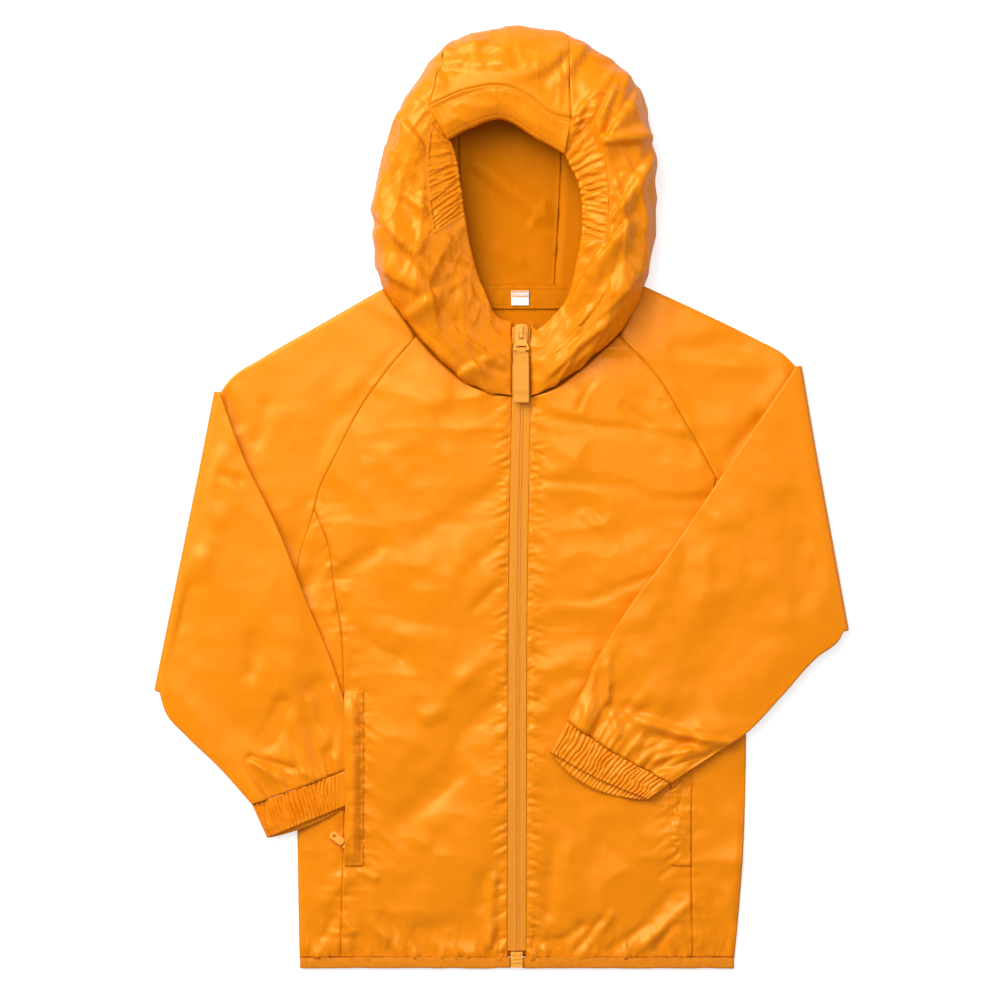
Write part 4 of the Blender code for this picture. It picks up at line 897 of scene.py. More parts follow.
def woven(
    name, dark, light, roughness, threads, crinkles,
    sheen=0.0, specular=0.5, gloss=GLOSS_TINT, silky=0.0,
):
    """A woven finish: two colours, its roughness, and the size and depth in metres of two reliefs."""
    look = bpy.data.materials.new(name)
    look.use_nodes = True
    tree = look.node_tree
    shader = tree.nodes["Principled BSDF"]
    drifting = put_group(look, "colour drift", {"Size": COLOUR_PATCH})["Amount"]
    tint = tree.nodes.new("ShaderNodeMix")
    tint.data_type = "RGBA"
    tint.inputs[BASE_SLOT].default_value = (*dark, 1)
    tint.inputs[LIGHT_SLOT].default_value = (*light, 1)
    tree.links.new(drifting, tint.inputs[0])
    tree.links.new(tint.outputs[MIXED_SLOT], shader.inputs["Base Color"])
    uneven = between(tree, drifting, roughness - 0.03, roughness + 0.03)
    tree.links.new(uneven, shader.inputs["Roughness"])
    thread_size, thread_depth = threads
    crinkle_size, crinkle_depth = crinkles
    woven_height = put_group(look, "woven threads", {"Thread size": thread_size})["Height"]
    crinkle_height = put_group(look, "fine crinkles", {"Size": crinkle_size})["Height"]
    lower = bumped(tree, crinkle_height, crinkle_depth)
    tree.links.new(bumped(tree, woven_height, thread_depth, lower), shader.inputs["Normal"])
    constants = {
        "Sheen Weight": sheen,
        "Sheen Roughness": 0.4,
        "Specular IOR Level": specular,
        "Specular Tint": (*gloss, 1),
        "Metallic": silky,
    }
    for label, value in constants.items():
        shader.inputs[label].default_value = value
    return look


ORANGE = ((0.80, 0.222, 0.0012), (0.84, 0.242, 0.002))
NYLON = woven(
    "orange_nylon", *ORANGE, 0.25, (0.0006, 0.000008), (0.018, 0.000006), specular=0.55, silky=0.05
)
CRUMPLED = woven(
    "orange_nylon_crumpled", *ORANGE, 0.27, (0.0006, 0.000008), (0.012, 0.00009),
    specular=0.55, silky=0.05,
)
# The inner face is the same nylon, duller, and its colour is darkened as painted shade for the inside of the
# hood, the neck and the back.
SHADED_INSIDE = woven(
    "orange_nylon_inside_painted_shade", (0.58, 0.146, 0.0005), (0.62, 0.158, 0.0006), 0.42,
    (0.0006, 0.000010), (0.018, 0.00005), specular=0.35, gloss=(1.0, 0.5, 0.06),
)
ELASTIC = woven(
    "orange_elastic", (0.70, 0.200, 0.002), (0.74, 0.22, 0.003), 0.62,
    (0.0011, 0.00008), (0.01, 0.0001), sheen=0.2,
)
TAPE = woven(
    "orange_tape", (0.74, 0.255, 0.016), (0.78, 0.28, 0.02), 0.66,
    (0.0009, 0.00009), (0.02, 0.00004), sheen=0.2,
)
RIBBON = woven(
    "orange_ribbon", (0.82, 0.32, 0.035), (0.85, 0.355, 0.045), 0.55,
    (0.0008, 0.0001), (0.02, 0.00004), sheen=0.2,
)
THREAD = woven(
    "orange_thread", (0.80, 0.25, 0.006), (0.86, 0.29, 0.012), 0.5,
    (0.0003, 0.00005), (0.004, 0.00002),
)


def plastic(name, colour, roughness):
    """A moulded or painted finish: one colour and a satin gloss with a faint grain."""
    look = bpy.data.materials.new(name)
    look.use_nodes = True
    shader = look.node_tree.nodes["Principled BSDF"]
    shader.inputs["Base Color"].default_value = (*colour, 1)
    shader.inputs["Specular Tint"].default_value = (1.0, 0.7, 0.4, 1)
    tree = look.node_tree
    grain = put_group(look, "colour drift", {"Size": 0.004})["Amount"]
    uneven = between(tree, grain, roughness - 0.05, roughness + 0.05)
    tree.links.new(uneven, shader.inputs["Roughness"])
    return look


print("finishes", [m.name for m in bpy.data.materials if m.use_nodes])

# %% [markdown]
# ## Back and fronts
#
# The back is one flat panel on the table. Each front lies over it, between the zip and the long
# princess seam, with a narrow side panel beyond. Columns stand closer together near the zip,
# where the stitching has drawn the edge into puckers.


# %% Back panel, fronts and side panels
def spread(dense, share, total):
    """Positions from 0 to 1 with the first few set closer together."""
    start = np.linspace(0, share, dense, endpoint=False)
    return np.concatenate([start, np.linspace(share, 1, total - dense)])


def zip_edge(offset, foot, head):
    def at(v):
        y = foot + np.asarray(v, float) * (head - foot)
        return np.stack([zip_x(y) + offset, y], -1)

    return at


def lay(plan, height):
    return np.concatenate([plan[..., :2], height[..., None]], axis=-1)


PANEL_FOOT = HEM_TOP - 0.9
INTO_BINDING = 1.3  # how much further down the panels run, into the binding


def body_panel(name, edges, across, rows):
    """A panel of the front between its hem, top, left and right edges."""
    u, v = np.meshgrid(across, np.linspace(0, 1, rows))
    plan = patch(*edges, u, v)
    plan[..., 1] -= INTO_BINDING * (1 - ramp(plan[..., 1], PANEL_FOOT, PANEL_FOOT + 5))
    points = lay(plan, body_height(plan[..., 0], plan[..., 1]))
    return cloth(name, points, NYLON)


u, v = np.meshgrid(np.linspace(0, 1, 70), np.linspace(0, 1, 110))
back_foot = straight(SIDE_LEFT[0], SIDE_RIGHT[0])
back_top = straight(RAGLAN_BACK_LEFT[0], RAGLAN_BACK_RIGHT[0])
back_left = chain((curve(SIDE_LEFT), 235), (backwards(curve(RAGLAN_BACK_LEFT)), 245))
back_right = chain((curve(SIDE_RIGHT), 255), (backwards(curve(RAGLAN_BACK_RIGHT)), 230))
plan = patch(back_foot, back_top, back_left, back_right, u, v)
flat = BACK_MID + 0.12 * soft_noise(plan[..., 0] / 22, plan[..., 1] / 30, 2)
# the back's inner face takes the darker inside finish, which is painted shade
cloth("back_panel", lay(plan, np.maximum(flat, 0.25)), SHADED_INSIDE)

left_zip = zip_edge(-ZIP_HALF, PANEL_FOOT, NECK_LEFT[-1][1])
right_zip = zip_edge(ZIP_HALF, PANEL_FOOT, NECK_RIGHT[0][1])
left_edge = chain((curve(PRINCESS_LEFT), 14), (backwards(curve(RAGLAN_LEFT)), 6))
right_edge = chain((curve(PRINCESS_RIGHT), 14), (backwards(curve(RAGLAN_RIGHT)), 6))
left_hem = straight((PRINCESS_LEFT[0][0], PANEL_FOOT), left_zip(0.0))
right_hem = straight(right_zip(0.0), (PRINCESS_RIGHT[0][0], PANEL_FOOT))
beside_zip = spread(16, 0.11, 80)
beside_seam = spread(4, 0.1, 26)
left_edges = (left_hem, curve(NECK_LEFT), left_edge, left_zip)
right_edges = (right_hem, curve(NECK_RIGHT), right_zip, right_edge)
body_panel("front_left", left_edges, 1 - beside_zip[::-1], 300)
body_panel("front_right", right_edges, beside_zip, 300)
for name, princess, edge, armhole, cut in (
    ("side_panel_left", PRINCESS_LEFT, SIDE_LEFT, ARMHOLE_LEFT, (0.045, 0.33, 0.0100)),
    ("side_panel_right", PRINCESS_RIGHT, SIDE_RIGHT, ARMHOLE_RIGHT, (0.05, 0.36, 0.0126)),
):
    hem = straight((princess[0][0], PANEL_FOOT), (edge[0][0], PANEL_FOOT))
    body_panel(name, (hem, curve(armhole), curve(princess), curve(edge)), beside_seam, 170)

# %% [markdown]
# ## Hem binding
#
# A narrow elastic strip is folded over the raw edge of the hem, all the way round.
# It stands in a low uneven crown, and pulls the cloth above it into small gathers.


# %% Hem binding
def binding_path(steps):
    """The strip seen from the end: along the front from the zip, round the side and back underneath."""
    middle = zip_x(HEM_TOP)
    gap = ZIP_HALF - 1.7
    turn = (HEM_FRONT - HEM_BACK) / 2
    half_turn = np.linspace(0, math.pi, 9)
    left = SIDE_LEFT[0][0] + turn + HEM_WALL / 2
    right = SIDE_RIGHT[0][0] - turn - HEM_WALL / 2
    centre = (HEM_FRONT + HEM_BACK) / 2
    path = [(x, HEM_FRONT) for x in np.linspace(middle - gap, left, steps)[:-1]]
    path += [(left - turn * math.sin(a), centre + turn * math.cos(a)) for a in half_turn]
    path += [(x, HEM_BACK) for x in np.linspace(left, right, steps)[1:-1]]
    path += [(right + turn * math.sin(a), centre - turn * math.cos(a)) for a in half_turn]
    path += [(x, HEM_FRONT) for x in np.linspace(right, middle + gap, steps)[1:]]
    return np.array(path)


strip = binding_path(120)
rows = []
for share in np.linspace(0, 1, 13):
    y = HEM_FOOT + share * (HEM_TOP - HEM_FOOT)
    crown = 0.45 * math.sin(math.pi * min(share, 0.9)) ** 0.5
    pull = 0.30 * soft_noise(strip[:, 0] / 2.6, share * 2, 13) * (0.4 + share)
    rise = np.where(strip[:, 1] > 2, crown + pull, 0)
    wave = 0.45 * soft_noise(strip[:, 0] / 11, 0.5, 17)
    rows.append(np.column_stack([strip[:, 0], y + wave, strip[:, 1] + rise]))
cut = (0.010, 0.66, 0.0045)
cloth("hem_binding", np.array(rows), ELASTIC, shell=0.9)

# %% [markdown]
# ## Pocket welts
#
# Each pocket opens beside a strip of doubled cloth, the welt. It is sewn down along one long edge and
# across both ends. On the left the cuff is tucked under its free edge, and lifts it.


# %% Pocket welts
def welt_height(x, y, welt, lift):
    """The welt lies on the front, or is lifted over the sleeve and the cuff tucked under it."""
    free, sewn, top, low = welt
    away = ramp(x, sewn, sewn + 0.6 * (free - sewn))
    over = ramp(y, low, low + 10) * ramp(y, top, top - 14)
    high = front_mid(x, y) + WALL - 0.05 + lift
    flat = body_height(x, y) + 0.25 + 0.45 * ramp(np.abs(x - sewn), 0.3, 2.4)
    return flat + (high - flat) * away * over * (lift > 0)


for side, welt, lift in (("left", WELT_LEFT, WELT_LIFT), ("right", WELT_RIGHT, 0.0)):
    free, sewn, top, low = welt
    u, v = np.meshgrid(np.linspace(0, 1, 24), np.linspace(0, 1, 130))
    x = min(free, sewn) + u * abs(free - sewn)
    y = low + v * (top - low)
    from_sewn, from_free = np.abs(x - sewn), np.abs(x - free)
    from_end = np.minimum(y - low, top - y)
    height = welt_height(x, y, welt, lift)
    height -= 0.2 * (1 - ramp(from_end, 0, 1.2)) + 0.4 * bell(from_sewn, 2.0, 0.5)
    pucker = 0.55 * soft_noise(y / 3.3, x / 8, 31) + 0.3 * soft_noise(y / 1.8, x / 5, 32)
    height += pucker * np.exp(-from_sewn / 5)
    height += np.abs(0.7 * soft_noise(y / 11, x / 8, 33)) * ramp(from_end, 0, 8)
    # the free edge bulges over the pocket's slider, clear of its tab
    bulge = bell(y, PULL_Y + 2, 6) * (1 - ramp(from_free, 0, 8)) * (lift > 0)
    height += 1.3 * bulge
    sway = 0.9 * soft_noise(y / 17, 0.5, 35) * ramp(from_sewn, 2, 12) * ramp(from_end, 0, 6)
    points = np.stack([x + 0.4 * bulge + sway, y, height], -1)
    cloth("pocket_welt_" + side, points, NYLON)

# %% [markdown]
# ## Sleeves
#
# A raglan sleeve is one tube of cloth, pressed flat. It runs out from its slanting seam,
# turns over at the jacket's widest line and lies back across the front to its gathered cuff.
# Each ring of points goes once round the flattened tube, with a small round edge where its two plies meet.


# %% Rings of a sleeve
EDGE_ROUND = 1.3


def sleeve_ring(across, width):
    """The columns round a flattened tube: their place from edge to edge, and the ply they belong to.

    ply is 1 on the ply that is uppermost at the shoulder, -1 on the other and between where they meet.
    """
    from_edge = np.minimum(across, 1 - across) * width
    apart = np.sqrt(1 - (1 - np.clip(from_edge / EDGE_ROUND, 0, 1)) ** 2)
    place = np.concatenate([across, across[-2:0:-1]])
    ply = np.concatenate([apart, -apart[-2:0:-1]])
    return place, ply


def tucked(x):
    """How far the left sleeve and its cuff are pressed down under the welt."""
    return TUCK * ramp(x, -150, -120) * (x < 0)


def room(x):
    """How much of its relief the left sleeve keeps: little where the welt lies over it."""
    return 1 - 0.9 * ramp(x, -119, -111) * (x < 0)


def outward(fold, start):
    """The direction across the fold line, away from the jacket."""
    ends = fold(np.array([0.0, 1.0]))
    along = (ends[1] - ends[0]) / np.linalg.norm(ends[1] - ends[0])
    way = np.array([-along[1], along[0]])
    return way if way @ (ends[0] - start) > 0 else -way


def edge_spaced(columns, width):
    """Even columns from 0 to 1, with some more close to each edge."""
    fine = np.array([0.12, 0.4, 0.8, 1.3]) / width
    return np.concatenate([[0], fine, np.linspace(0, 1, columns)[1:-1], 1 - fine[::-1], [1]])


UPPER_LEVEL = BACK_MID + PLY  # middle of the flattened tube where it lies on the floor
FOREARM_LEVEL = 2 * FOLD_CENTRE - UPPER_LEVEL  # and where it lies back over the front
TUBE_WIDTH = 200.0
UPPER_RINGS, TURN_RINGS, FOREARM_RINGS = 56, 13, 96


def upper_ring(v, plan, ply):
    """One ring of the upper sleeve, with the rise and creases of its upper ply."""
    x, y = plan[:, 0], plan[:, 1]
    loft = np.clip(0.5 + folds(x, y, SLEEVE_FOLDS), 0, 1.8) * math.sin(math.pi * v) ** 0.5
    crease = 1.8 * creases(x, y, SLEEVE_CREASES, 1.3) + 0.6 * facets(x / 44, y / 36, 41)
    crease += 0.10 * soft_noise(x / 8, y / 7, 43)
    top = UPPER_LEVEL + PLY + loft + crease * ramp(v, 0.02, 0.15) * ramp(v, 1.0, 0.9)
    if v < 0.25:
        joined_on = body_height(x, y)
        top = joined_on + (top - joined_on) * ramp(v, 0.0, 0.22)
    share = np.where(ply > 0, np.clip(top, BACK_MID + 0.9, 5.0) - UPPER_LEVEL, PLY)
    return lay(plan, UPPER_LEVEL + share * ply)


def forearm_ring(v, plan, place, ply):
    """One ring of the part that lies back over the front, gathered towards the cuff."""
    x, y = plan[:, 0], plan[:, 1]
    loft = np.clip(0.9 + folds(x, y, FOREARM_FOLDS), 0, 2.2)
    loft = loft * math.sin(math.pi * min(v, 0.9)) ** 0.5 * (1 - tucked(x) / TUCK)
    crease = 3.2 * creases(x, y, FOREARM_CREASES, 1.0) + 0.6 * facets(x / 46, y / 40, 47)
    crease += 0.10 * soft_noise(x / 8, y / 8, 49)
    gather = 2.3 * soft_noise(place * 14 + 1.6 * v, v * 5, 51) * ramp(v, 0.7, 0.97)
    gather += 1.1 * soft_noise(place * 33 - 0.6 * v, v * 8, 53) * ramp(v, 0.84, 0.99)
    relief = (crease * ramp(v, 0.0, 0.08) * ramp(v, 1.0, 0.94) + gather) * room(x)
    height = FOREARM_LEVEL - ply * PLY - tucked(x)
    return lay(plan, height + np.where(ply < 0, np.abs(ply) * np.clip(loft + relief, -1.4, 5.5), 0))


def sleeve_points(front, back, shoulder, underarm, fold, inner, lower, cuff):
    place, ply = sleeve_ring(edge_spaced(78, TUBE_WIDTH), TUBE_WIDTH)
    inset = outward(fold, front(0.5)) * FOLD_INSET
    rings = []
    for v in np.linspace(0, 1, UPPER_RINGS)[:-1]:
        level = np.full_like(place, v)
        on_front = patch(front, fold, shoulder, underarm, place, level)
        on_back = patch(back, fold, shoulder, underarm, place, level)
        rings.append(upper_ring(v, np.where(ply[:, None] >= 0, on_front, on_back) - inset * v, ply))
    base = fold(place) - inset
    radius = FOLD_CENTRE - UPPER_LEVEL - ply * PLY
    for angle in np.radians(np.linspace(-90, 90, TURN_RINGS)):
        plan = base + inset / FOLD_INSET * (radius * math.cos(angle))[:, None]
        rings.append(lay(plan, FOLD_CENTRE + radius * math.sin(angle)))
    for v in np.linspace(0, 1, FOREARM_RINGS)[1:]:
        plan = patch(fold, cuff, inner, lower, place, np.full_like(place, v)) - inset * (1 - v)
        rings.append(forearm_ring(v, plan, place, ply))
    return np.array(rings)


SLEEVES = {
    "left": (
        (SHOULDER_LEFT[0], RAGLAN_LEFT, ARMHOLE_LEFT, RAGLAN_BACK_LEFT),
        (SHOULDER_LEFT, UNDERARM_LEFT, FOLD_LEFT, INNER_LEFT, LOWER_LEFT, CUFF_TOP_LEFT),
        (0.46, 0.36, 0.088),
    ),
    "right": (
        (SHOULDER_RIGHT[0], RAGLAN_RIGHT, ARMHOLE_RIGHT, RAGLAN_BACK_RIGHT),
        (SHOULDER_RIGHT, UNDERARM_RIGHT, FOLD_RIGHT, INNER_RIGHT, LOWER_RIGHT, CUFF_TOP_RIGHT),
        (0.46, 0.38, 0.0912),
    ),
}
for side, ((neck_point, raglan, armhole, raglan_back), edges, cut) in SLEEVES.items():
    front = chain((straight(neck_point, raglan[0]), 1), (curve(raglan), 6), (curve(armhole), 3))
    back = chain((straight(neck_point, raglan_back[0]), 1), (curve(raglan_back), 9))
    points = sleeve_points(front, back, *map(curve, edges))
    cloth("sleeve_" + side, points, NYLON, closed=True)

# %% [markdown]
# ## Cuffs
#
# Elastic inside a doubled band gathers the sleeve's end into 27 fine ribs on each ply.
# Each rib is its own height and leans its own way, as gathered nylon does.
# The right cuff gapes a little, and its lower ply shows below its mouth.


# %% Gathered cuffs
CUFF_WIDTH = 82.0
RIBS = 27


def cuff_points(top, end, sag, seed):
    """The rings of a cuff; sag is how far its lower ply hangs out below its mouth."""
    place, ply = sleeve_ring(edge_spaced(200, CUFF_WIDTH), CUFF_WIDTH)
    way = end(0.5) - top(0.5)
    way = way / np.linalg.norm(way)
    rings = []
    for v in np.linspace(0, 1, 26):
        hang = np.where(ply < 0, 0.0, sag) * np.sin(math.pi * place) ** 0.7 * v**2
        plan = (1 - v) * top(place) + v * end(place) + way * (0.2 * (1 - v) + hang)[:, None]
        lean = place + 0.02 * soft_noise(place * 9, v * 2.5, seed)
        rib = 0.72 * np.cos(2 * math.pi * RIBS * lean) * (0.7 + 0.5 * soft_noise(place * 23, v * 2, seed + 1))
        rib += 0.45 * soft_noise(place * 41 + v * 1.5, v * 4, seed + 2)
        band = 0.55 * math.sin(math.pi * v) ** 0.5 - 0.25 * bell(v, 0.1, 0.05) - 0.25 * bell(v, 0.88, 0.05)
        height = FOREARM_LEVEL - ply * (PLY + 0.2) - tucked(plan[:, 0])
        swell = np.where(ply < 0, (band + rib) * room(plan[:, 0]) + 0.3, 0.4 * rib)
        rings.append(lay(plan, height + swell * np.abs(ply)))
    return np.array(rings)


CUFF_POINTS = []
for side, top, end, sag, seed in (
    ("left", CUFF_TOP_LEFT, CUFF_END_LEFT, 3.5, 61),
    ("right", CUFF_TOP_RIGHT, CUFF_END_RIGHT, 8.0, 71),
):
    points = cuff_points(curve(top), curve(end), sag, seed)
    CUFF_POINTS.append(points)
    cut = (0.17, 0.035, 0.0052)
    cloth("cuff_" + side, points, NYLON, closed=True)

# %% [markdown]
# ## Hood
#
# The hood has two side panels and a centre strip from the brim band, over the top and down the
# inside back to the neck. Each side panel is a row of sections across the hood. A section starts at
# the face opening, climbs to a crest, turns round the outside and comes back along the floor.
# The creases are added along the direction in which the cloth faces, so they show on the steep
# sides too.


# %% Sections of the hood
MOUTH_STEPS, CREST_STEPS, TURN_STEPS, FLOOR_STEPS = 30, 26, 12, 8
ROW_SPLIT = 20


def hood_row(mouth, crest, outer, floor_end):
    """One section, from the face opening to its end on the floor."""
    points = []
    for t in np.linspace(0, 1, MOUTH_STEPS + 1):
        rise = math.sin(math.pi / 2 * t)
        points.append([*(mouth[:2] + t * (crest[:2] - mouth[:2])), mouth[2] + rise * (crest[2] - mouth[2])])
    for turn in np.linspace(0, math.pi / 2, CREST_STEPS + 1)[1:]:
        spot = crest[:2] + math.sin(turn) * (outer[:2] - crest[:2])
        points.append([*spot, crest[2] - (1 - math.cos(turn)) * (crest[2] - outer[2])])
    inward = floor_end - outer[:2]
    foot = outer[:2] + inward / np.linalg.norm(inward) * HOOD_TURN
    for turn in np.linspace(0, math.pi / 2, TURN_STEPS + 1)[1:]:
        spot = outer[:2] + (1 - math.cos(turn)) * (foot - outer[:2])
        points.append([*spot, outer[2] - math.sin(turn) * (outer[2] - BACK_MID)])
    for t in np.linspace(0, 1, FLOOR_STEPS + 1)[1:]:
        points.append([*(foot + t * (floor_end - foot)), BACK_MID])
    return np.array(points)


def hood_stations(table):
    rows = np.array(table, float).reshape(len(table), 9)
    return spline(rows, np.arange(len(table), dtype=float))


def hood_at(station, number):
    """A station between two half rows, halfway to the straight line that the coarse solid takes."""
    low = np.floor(2 * number) / 2
    share = (number - low) * 2
    return station(number) * 0.5 + 0.5 * ((1 - share) * station(low) + share * station(low + 0.5))


def hood_side_points(table, strip):
    station = hood_stations(table)
    last = len(table) - 1
    seam = curve(strip)
    rows = []
    for number in np.linspace(0, last, last * ROW_SPLIT + 1):
        mouth, crest, outer = hood_at(station, min(number, last - 1e-6)).reshape(3, 3)
        down = max(0, (number - SHOULDER_ROW) / (last - SHOULDER_ROW))
        rows.append(hood_row(mouth, crest, outer, seam(down)))
    return np.array(rows)


CREST_COLUMN = MOUTH_STEPS + CREST_STEPS  # the outermost line
TURNED_COLUMN = CREST_COLUMN + TURN_STEPS  # where the hood has reached the floor
SHOULDER = SHOULDER_ROW * ROW_SPLIT
CASING_FIRST, CASING_LAST = CASING_ROWS[0] * ROW_SPLIT, CASING_ROWS[1] * ROW_SPLIT
CASING_EDGE = CASING_SHARE * MOUTH_STEPS


def off_floor(points):
    return ramp(points[..., 2], BACK_MID + 0.3, 6.0)


def hood_folds(points):
    """The placed creases and folds, the same on both sides of a seam, and flatter on upright cloth."""
    x, y = points[..., 0], points[..., 1]
    relief = 1.5 * creases(x, y, HOOD_CREASES, 1.1) + 1.8 * laps(x, y, HOOD_LAPS)
    level = ramp(np.abs(facing(points)[..., 2]), 0.2, 0.8)
    return np.clip(relief, -3.5, 6.5) * (0.25 + 0.75 * level) * off_floor(points)


def creased(points, sign):
    """The sections with their creases, calm along each seam so that the panels meet."""
    rows, columns = points.shape[:2]
    x, y = points[..., 0], points[..., 1]
    number, column = np.arange(rows)[:, None], np.arange(columns)[None]
    upper = 1 - ramp(column, CREST_COLUMN, TURNED_COLUMN)
    around, along = lengths(points, 1), lengths(points, 0)
    over = points[-1][MOUTH_STEPS:, :2]
    knots = np.linspace(0, 1, len(over))
    seam = lambda t: np.stack([np.interp(t, knots, over[:, axis]) for axis in (0, 1)], -1)
    from_seam, seam_place = near(x, y, seam, 40)
    past = np.maximum(column - CASING_EDGE, 0)
    beyond = np.maximum(np.maximum(CASING_FIRST - number, number - CASING_LAST), 0)
    from_brim = np.where(column < MOUTH_STEPS, rows - 1 - number, 99)
    calm = ramp(np.hypot(past, beyond), 0, 5) * ramp(from_brim, 0, 6)
    crumple = 1.3 * facets(around / 24 + along / 60, along / 30, 81)
    crumple += 0.35 * facets(around / 11, along / 13, 89)
    relief = hood_folds(points) * calm
    relief += crumple * off_floor(points) * upper * calm * ramp(from_seam, 0, 6)
    relief += 0.12 * soft_noise(x / 5, y / 5, 83)
    relief += seam_relief(from_seam, seam_place, 85, depth=0.3, pull=0.2) * upper
    # puckers that the casing's elastic draws beside it
    beside = ramp(number, CASING_FIRST - 6, CASING_FIRST + 4) * ramp(number, CASING_LAST + 6, CASING_LAST - 4)
    halfway = along[:, MOUTH_STEPS // 2][:, None]
    pucker = 0.9 * soft_noise(halfway / 3.4, past / 14, 87) * np.exp(-past / 7)
    relief += beside * ramp(past, 0, 3) * pucker
    return points + sign * facing(points) * relief[..., None]


def hood_keep(rows, columns):
    """The squares of a side panel: not those of its casing, nor those below the shoulder on the floor."""
    number, column = np.meshgrid(np.arange(rows), np.arange(columns), indexing="ij")
    casing = (column < round(CASING_EDGE)) & (number >= CASING_FIRST) & (number < CASING_LAST)
    return ~casing & ((column < CREST_COLUMN) | (number >= SHOULDER - 4))


LEAST_HEIGHT = 0.35  # the lowest that the middle of a shell lies
HOOD_SIDES = {}
for side, table, strip in (("left", HOOD_LEFT, STRIP_LEFT), ("right", HOOD_RIGHT, STRIP_RIGHT)):
    plain = hood_side_points(table, strip)
    HOOD_SIDES[side] = plain
    outwards = 1 if facing(plain)[len(plain) // 2, MOUTH_STEPS, 2] > 0 else -1
    points = creased(plain, outwards)
    points[..., 2] = np.maximum(points[..., 2], LEAST_HEIGHT)
    keep = hood_keep(len(points) - 1, points.shape[1] - 1)
    points, keep = points[:, ::outwards], keep[:, ::outwards]
    # the hood's inner face takes the darker inside finish, which is painted shade
    cloth("hood_side_" + side, points, CRUMPLED, keep=keep, inside=SHADED_INSIDE)

# %% [markdown]
# ## Centre strip of the hood
#
# The strip between the two sides shows its inner face at the bottom of the open hood.


# %% Centre strip of the hood
STRIP_COLUMNS = 90


def strip_edge(side, shift):
    """The strip's edge: the side panel's seam over the top, then its edge down the inside back."""
    plain = HOOD_SIDES[side]
    down = plain[SHOULDER:-1, -1][::-1]
    return np.concatenate([plain[-1][MOUTH_STEPS:], down]) + np.array([shift, 0, 0])


left, right = strip_edge("left", 0.1), strip_edge("right", -0.1)
mouth, crest, outer = np.array(HOOD_MIDDLE, float)
over = hood_row(mouth, crest, outer, np.array(HOOD_BACK_TOP))[MOUTH_STEPS:]
middle = np.concatenate([over, (left[len(over) :] + right[len(over) :]) / 2])
columns = []
for t in np.linspace(0, 1, STRIP_COLUMNS):
    columns.append(2 * (t - 0.5) * (t - 1) * left + 4 * t * (1 - t) * middle + 2 * t * (t - 0.5) * right)
points = np.array(columns).transpose(1, 0, 2)
upward = facing(points)
upward *= np.where(upward[:1, 45:46, 2:] > 0, 1, -1)
x, y = points[..., 0], points[..., 1]
number, column = np.arange(len(points))[:, None], np.arange(STRIP_COLUMNS)
outside = 1 - ramp(number, CREST_STEPS, CREST_STEPS + TURN_STEPS)
inside = ramp(number, len(over), len(over) + 15)
from_edge = np.minimum(np.linspace(0, 1, STRIP_COLUMNS), np.linspace(1, 0, STRIP_COLUMNS))[None] * 110
crumple = 1.2 * facets(x / 22 + y / 70, y / 19, 91) + 0.35 * facets(x / 11, y / 9, 92)
relief = (hood_folds(points) + crumple * ramp(from_edge, 0, 6) * outside) * ramp(number, 0, 7)
relief += np.clip(folds(x, y, FLOOR_CREASES), -0.1, 2.2) * inside
relief += np.abs(0.4 * soft_noise(x / 15, y / 18, 95)) * inside
relief += seam_relief(from_edge * np.ones_like(x), y + x, 97, depth=0.3, pull=0.2) * outside
# its first row is moved on to the brim's seam, and the next ones follow it less and less
seam_line = curve(BRIM_SEAM)(np.linspace(0, 1, 200))
first = points[0]
on_seam = [np.interp(first[:, 0], seam_line[:, 0], seam_line[:, axis]) for axis in (1, 2)]
meeting = np.stack([first[:, 0]] + on_seam, -1)
points = points + (meeting - first) * (1 - ramp(number, 0, 16))[..., None]
points = points + np.where(inside[..., None] > 0, np.array([0, 0, 1.0]), upward) * relief[..., None]
points[..., 2] = np.maximum(points[..., 2], LEAST_HEIGHT)
# inside the hood its two edges lap over the side panels
edge_over = 0.9 * inside * np.where(column < 45, -1, 1) * (np.abs(column - 44.5) > 43)
points[..., 0] += edge_over
points[..., 2] += 0.3 * np.abs(edge_over)
if facing(points)[10, 45, 2] < 0:
    points = points[:, ::-1]
# the strip's inner face takes the darker inside finish, which is painted shade
cloth("hood_centre", points, CRUMPLED, inside=SHADED_INSIDE)

# %% [markdown]
# ## Brim band and gathered casings
#
# A doubled band edges the top of the face opening. At each temple a short elastic runs in a casing
# along the opening, and gathers it into fine uneven pleats.


# %% Brim band and casings
def pleats(place, count, seed):
    """Uneven pleats along 0 to 1: each stands its own height, and their spacing drifts."""
    drift = place + 0.45 / count * soft_noise(place * count * 0.6, 0.5, seed)
    return np.cos(2 * math.pi * count * drift) * (0.65 + 0.5 * soft_noise(place * count * 0.9, 2.5, seed + 1))


def raised(points, relief, row, column):
    """The band with its relief on its outer side, and 1 or -1 for the side that it faces."""
    upward = facing(points)
    upward *= 1 if upward[row, column, 2] > 0 else -1
    points = points + upward * relief[..., None]
    return points, 1 if facing(points)[row, column, 2] > 0 else -1


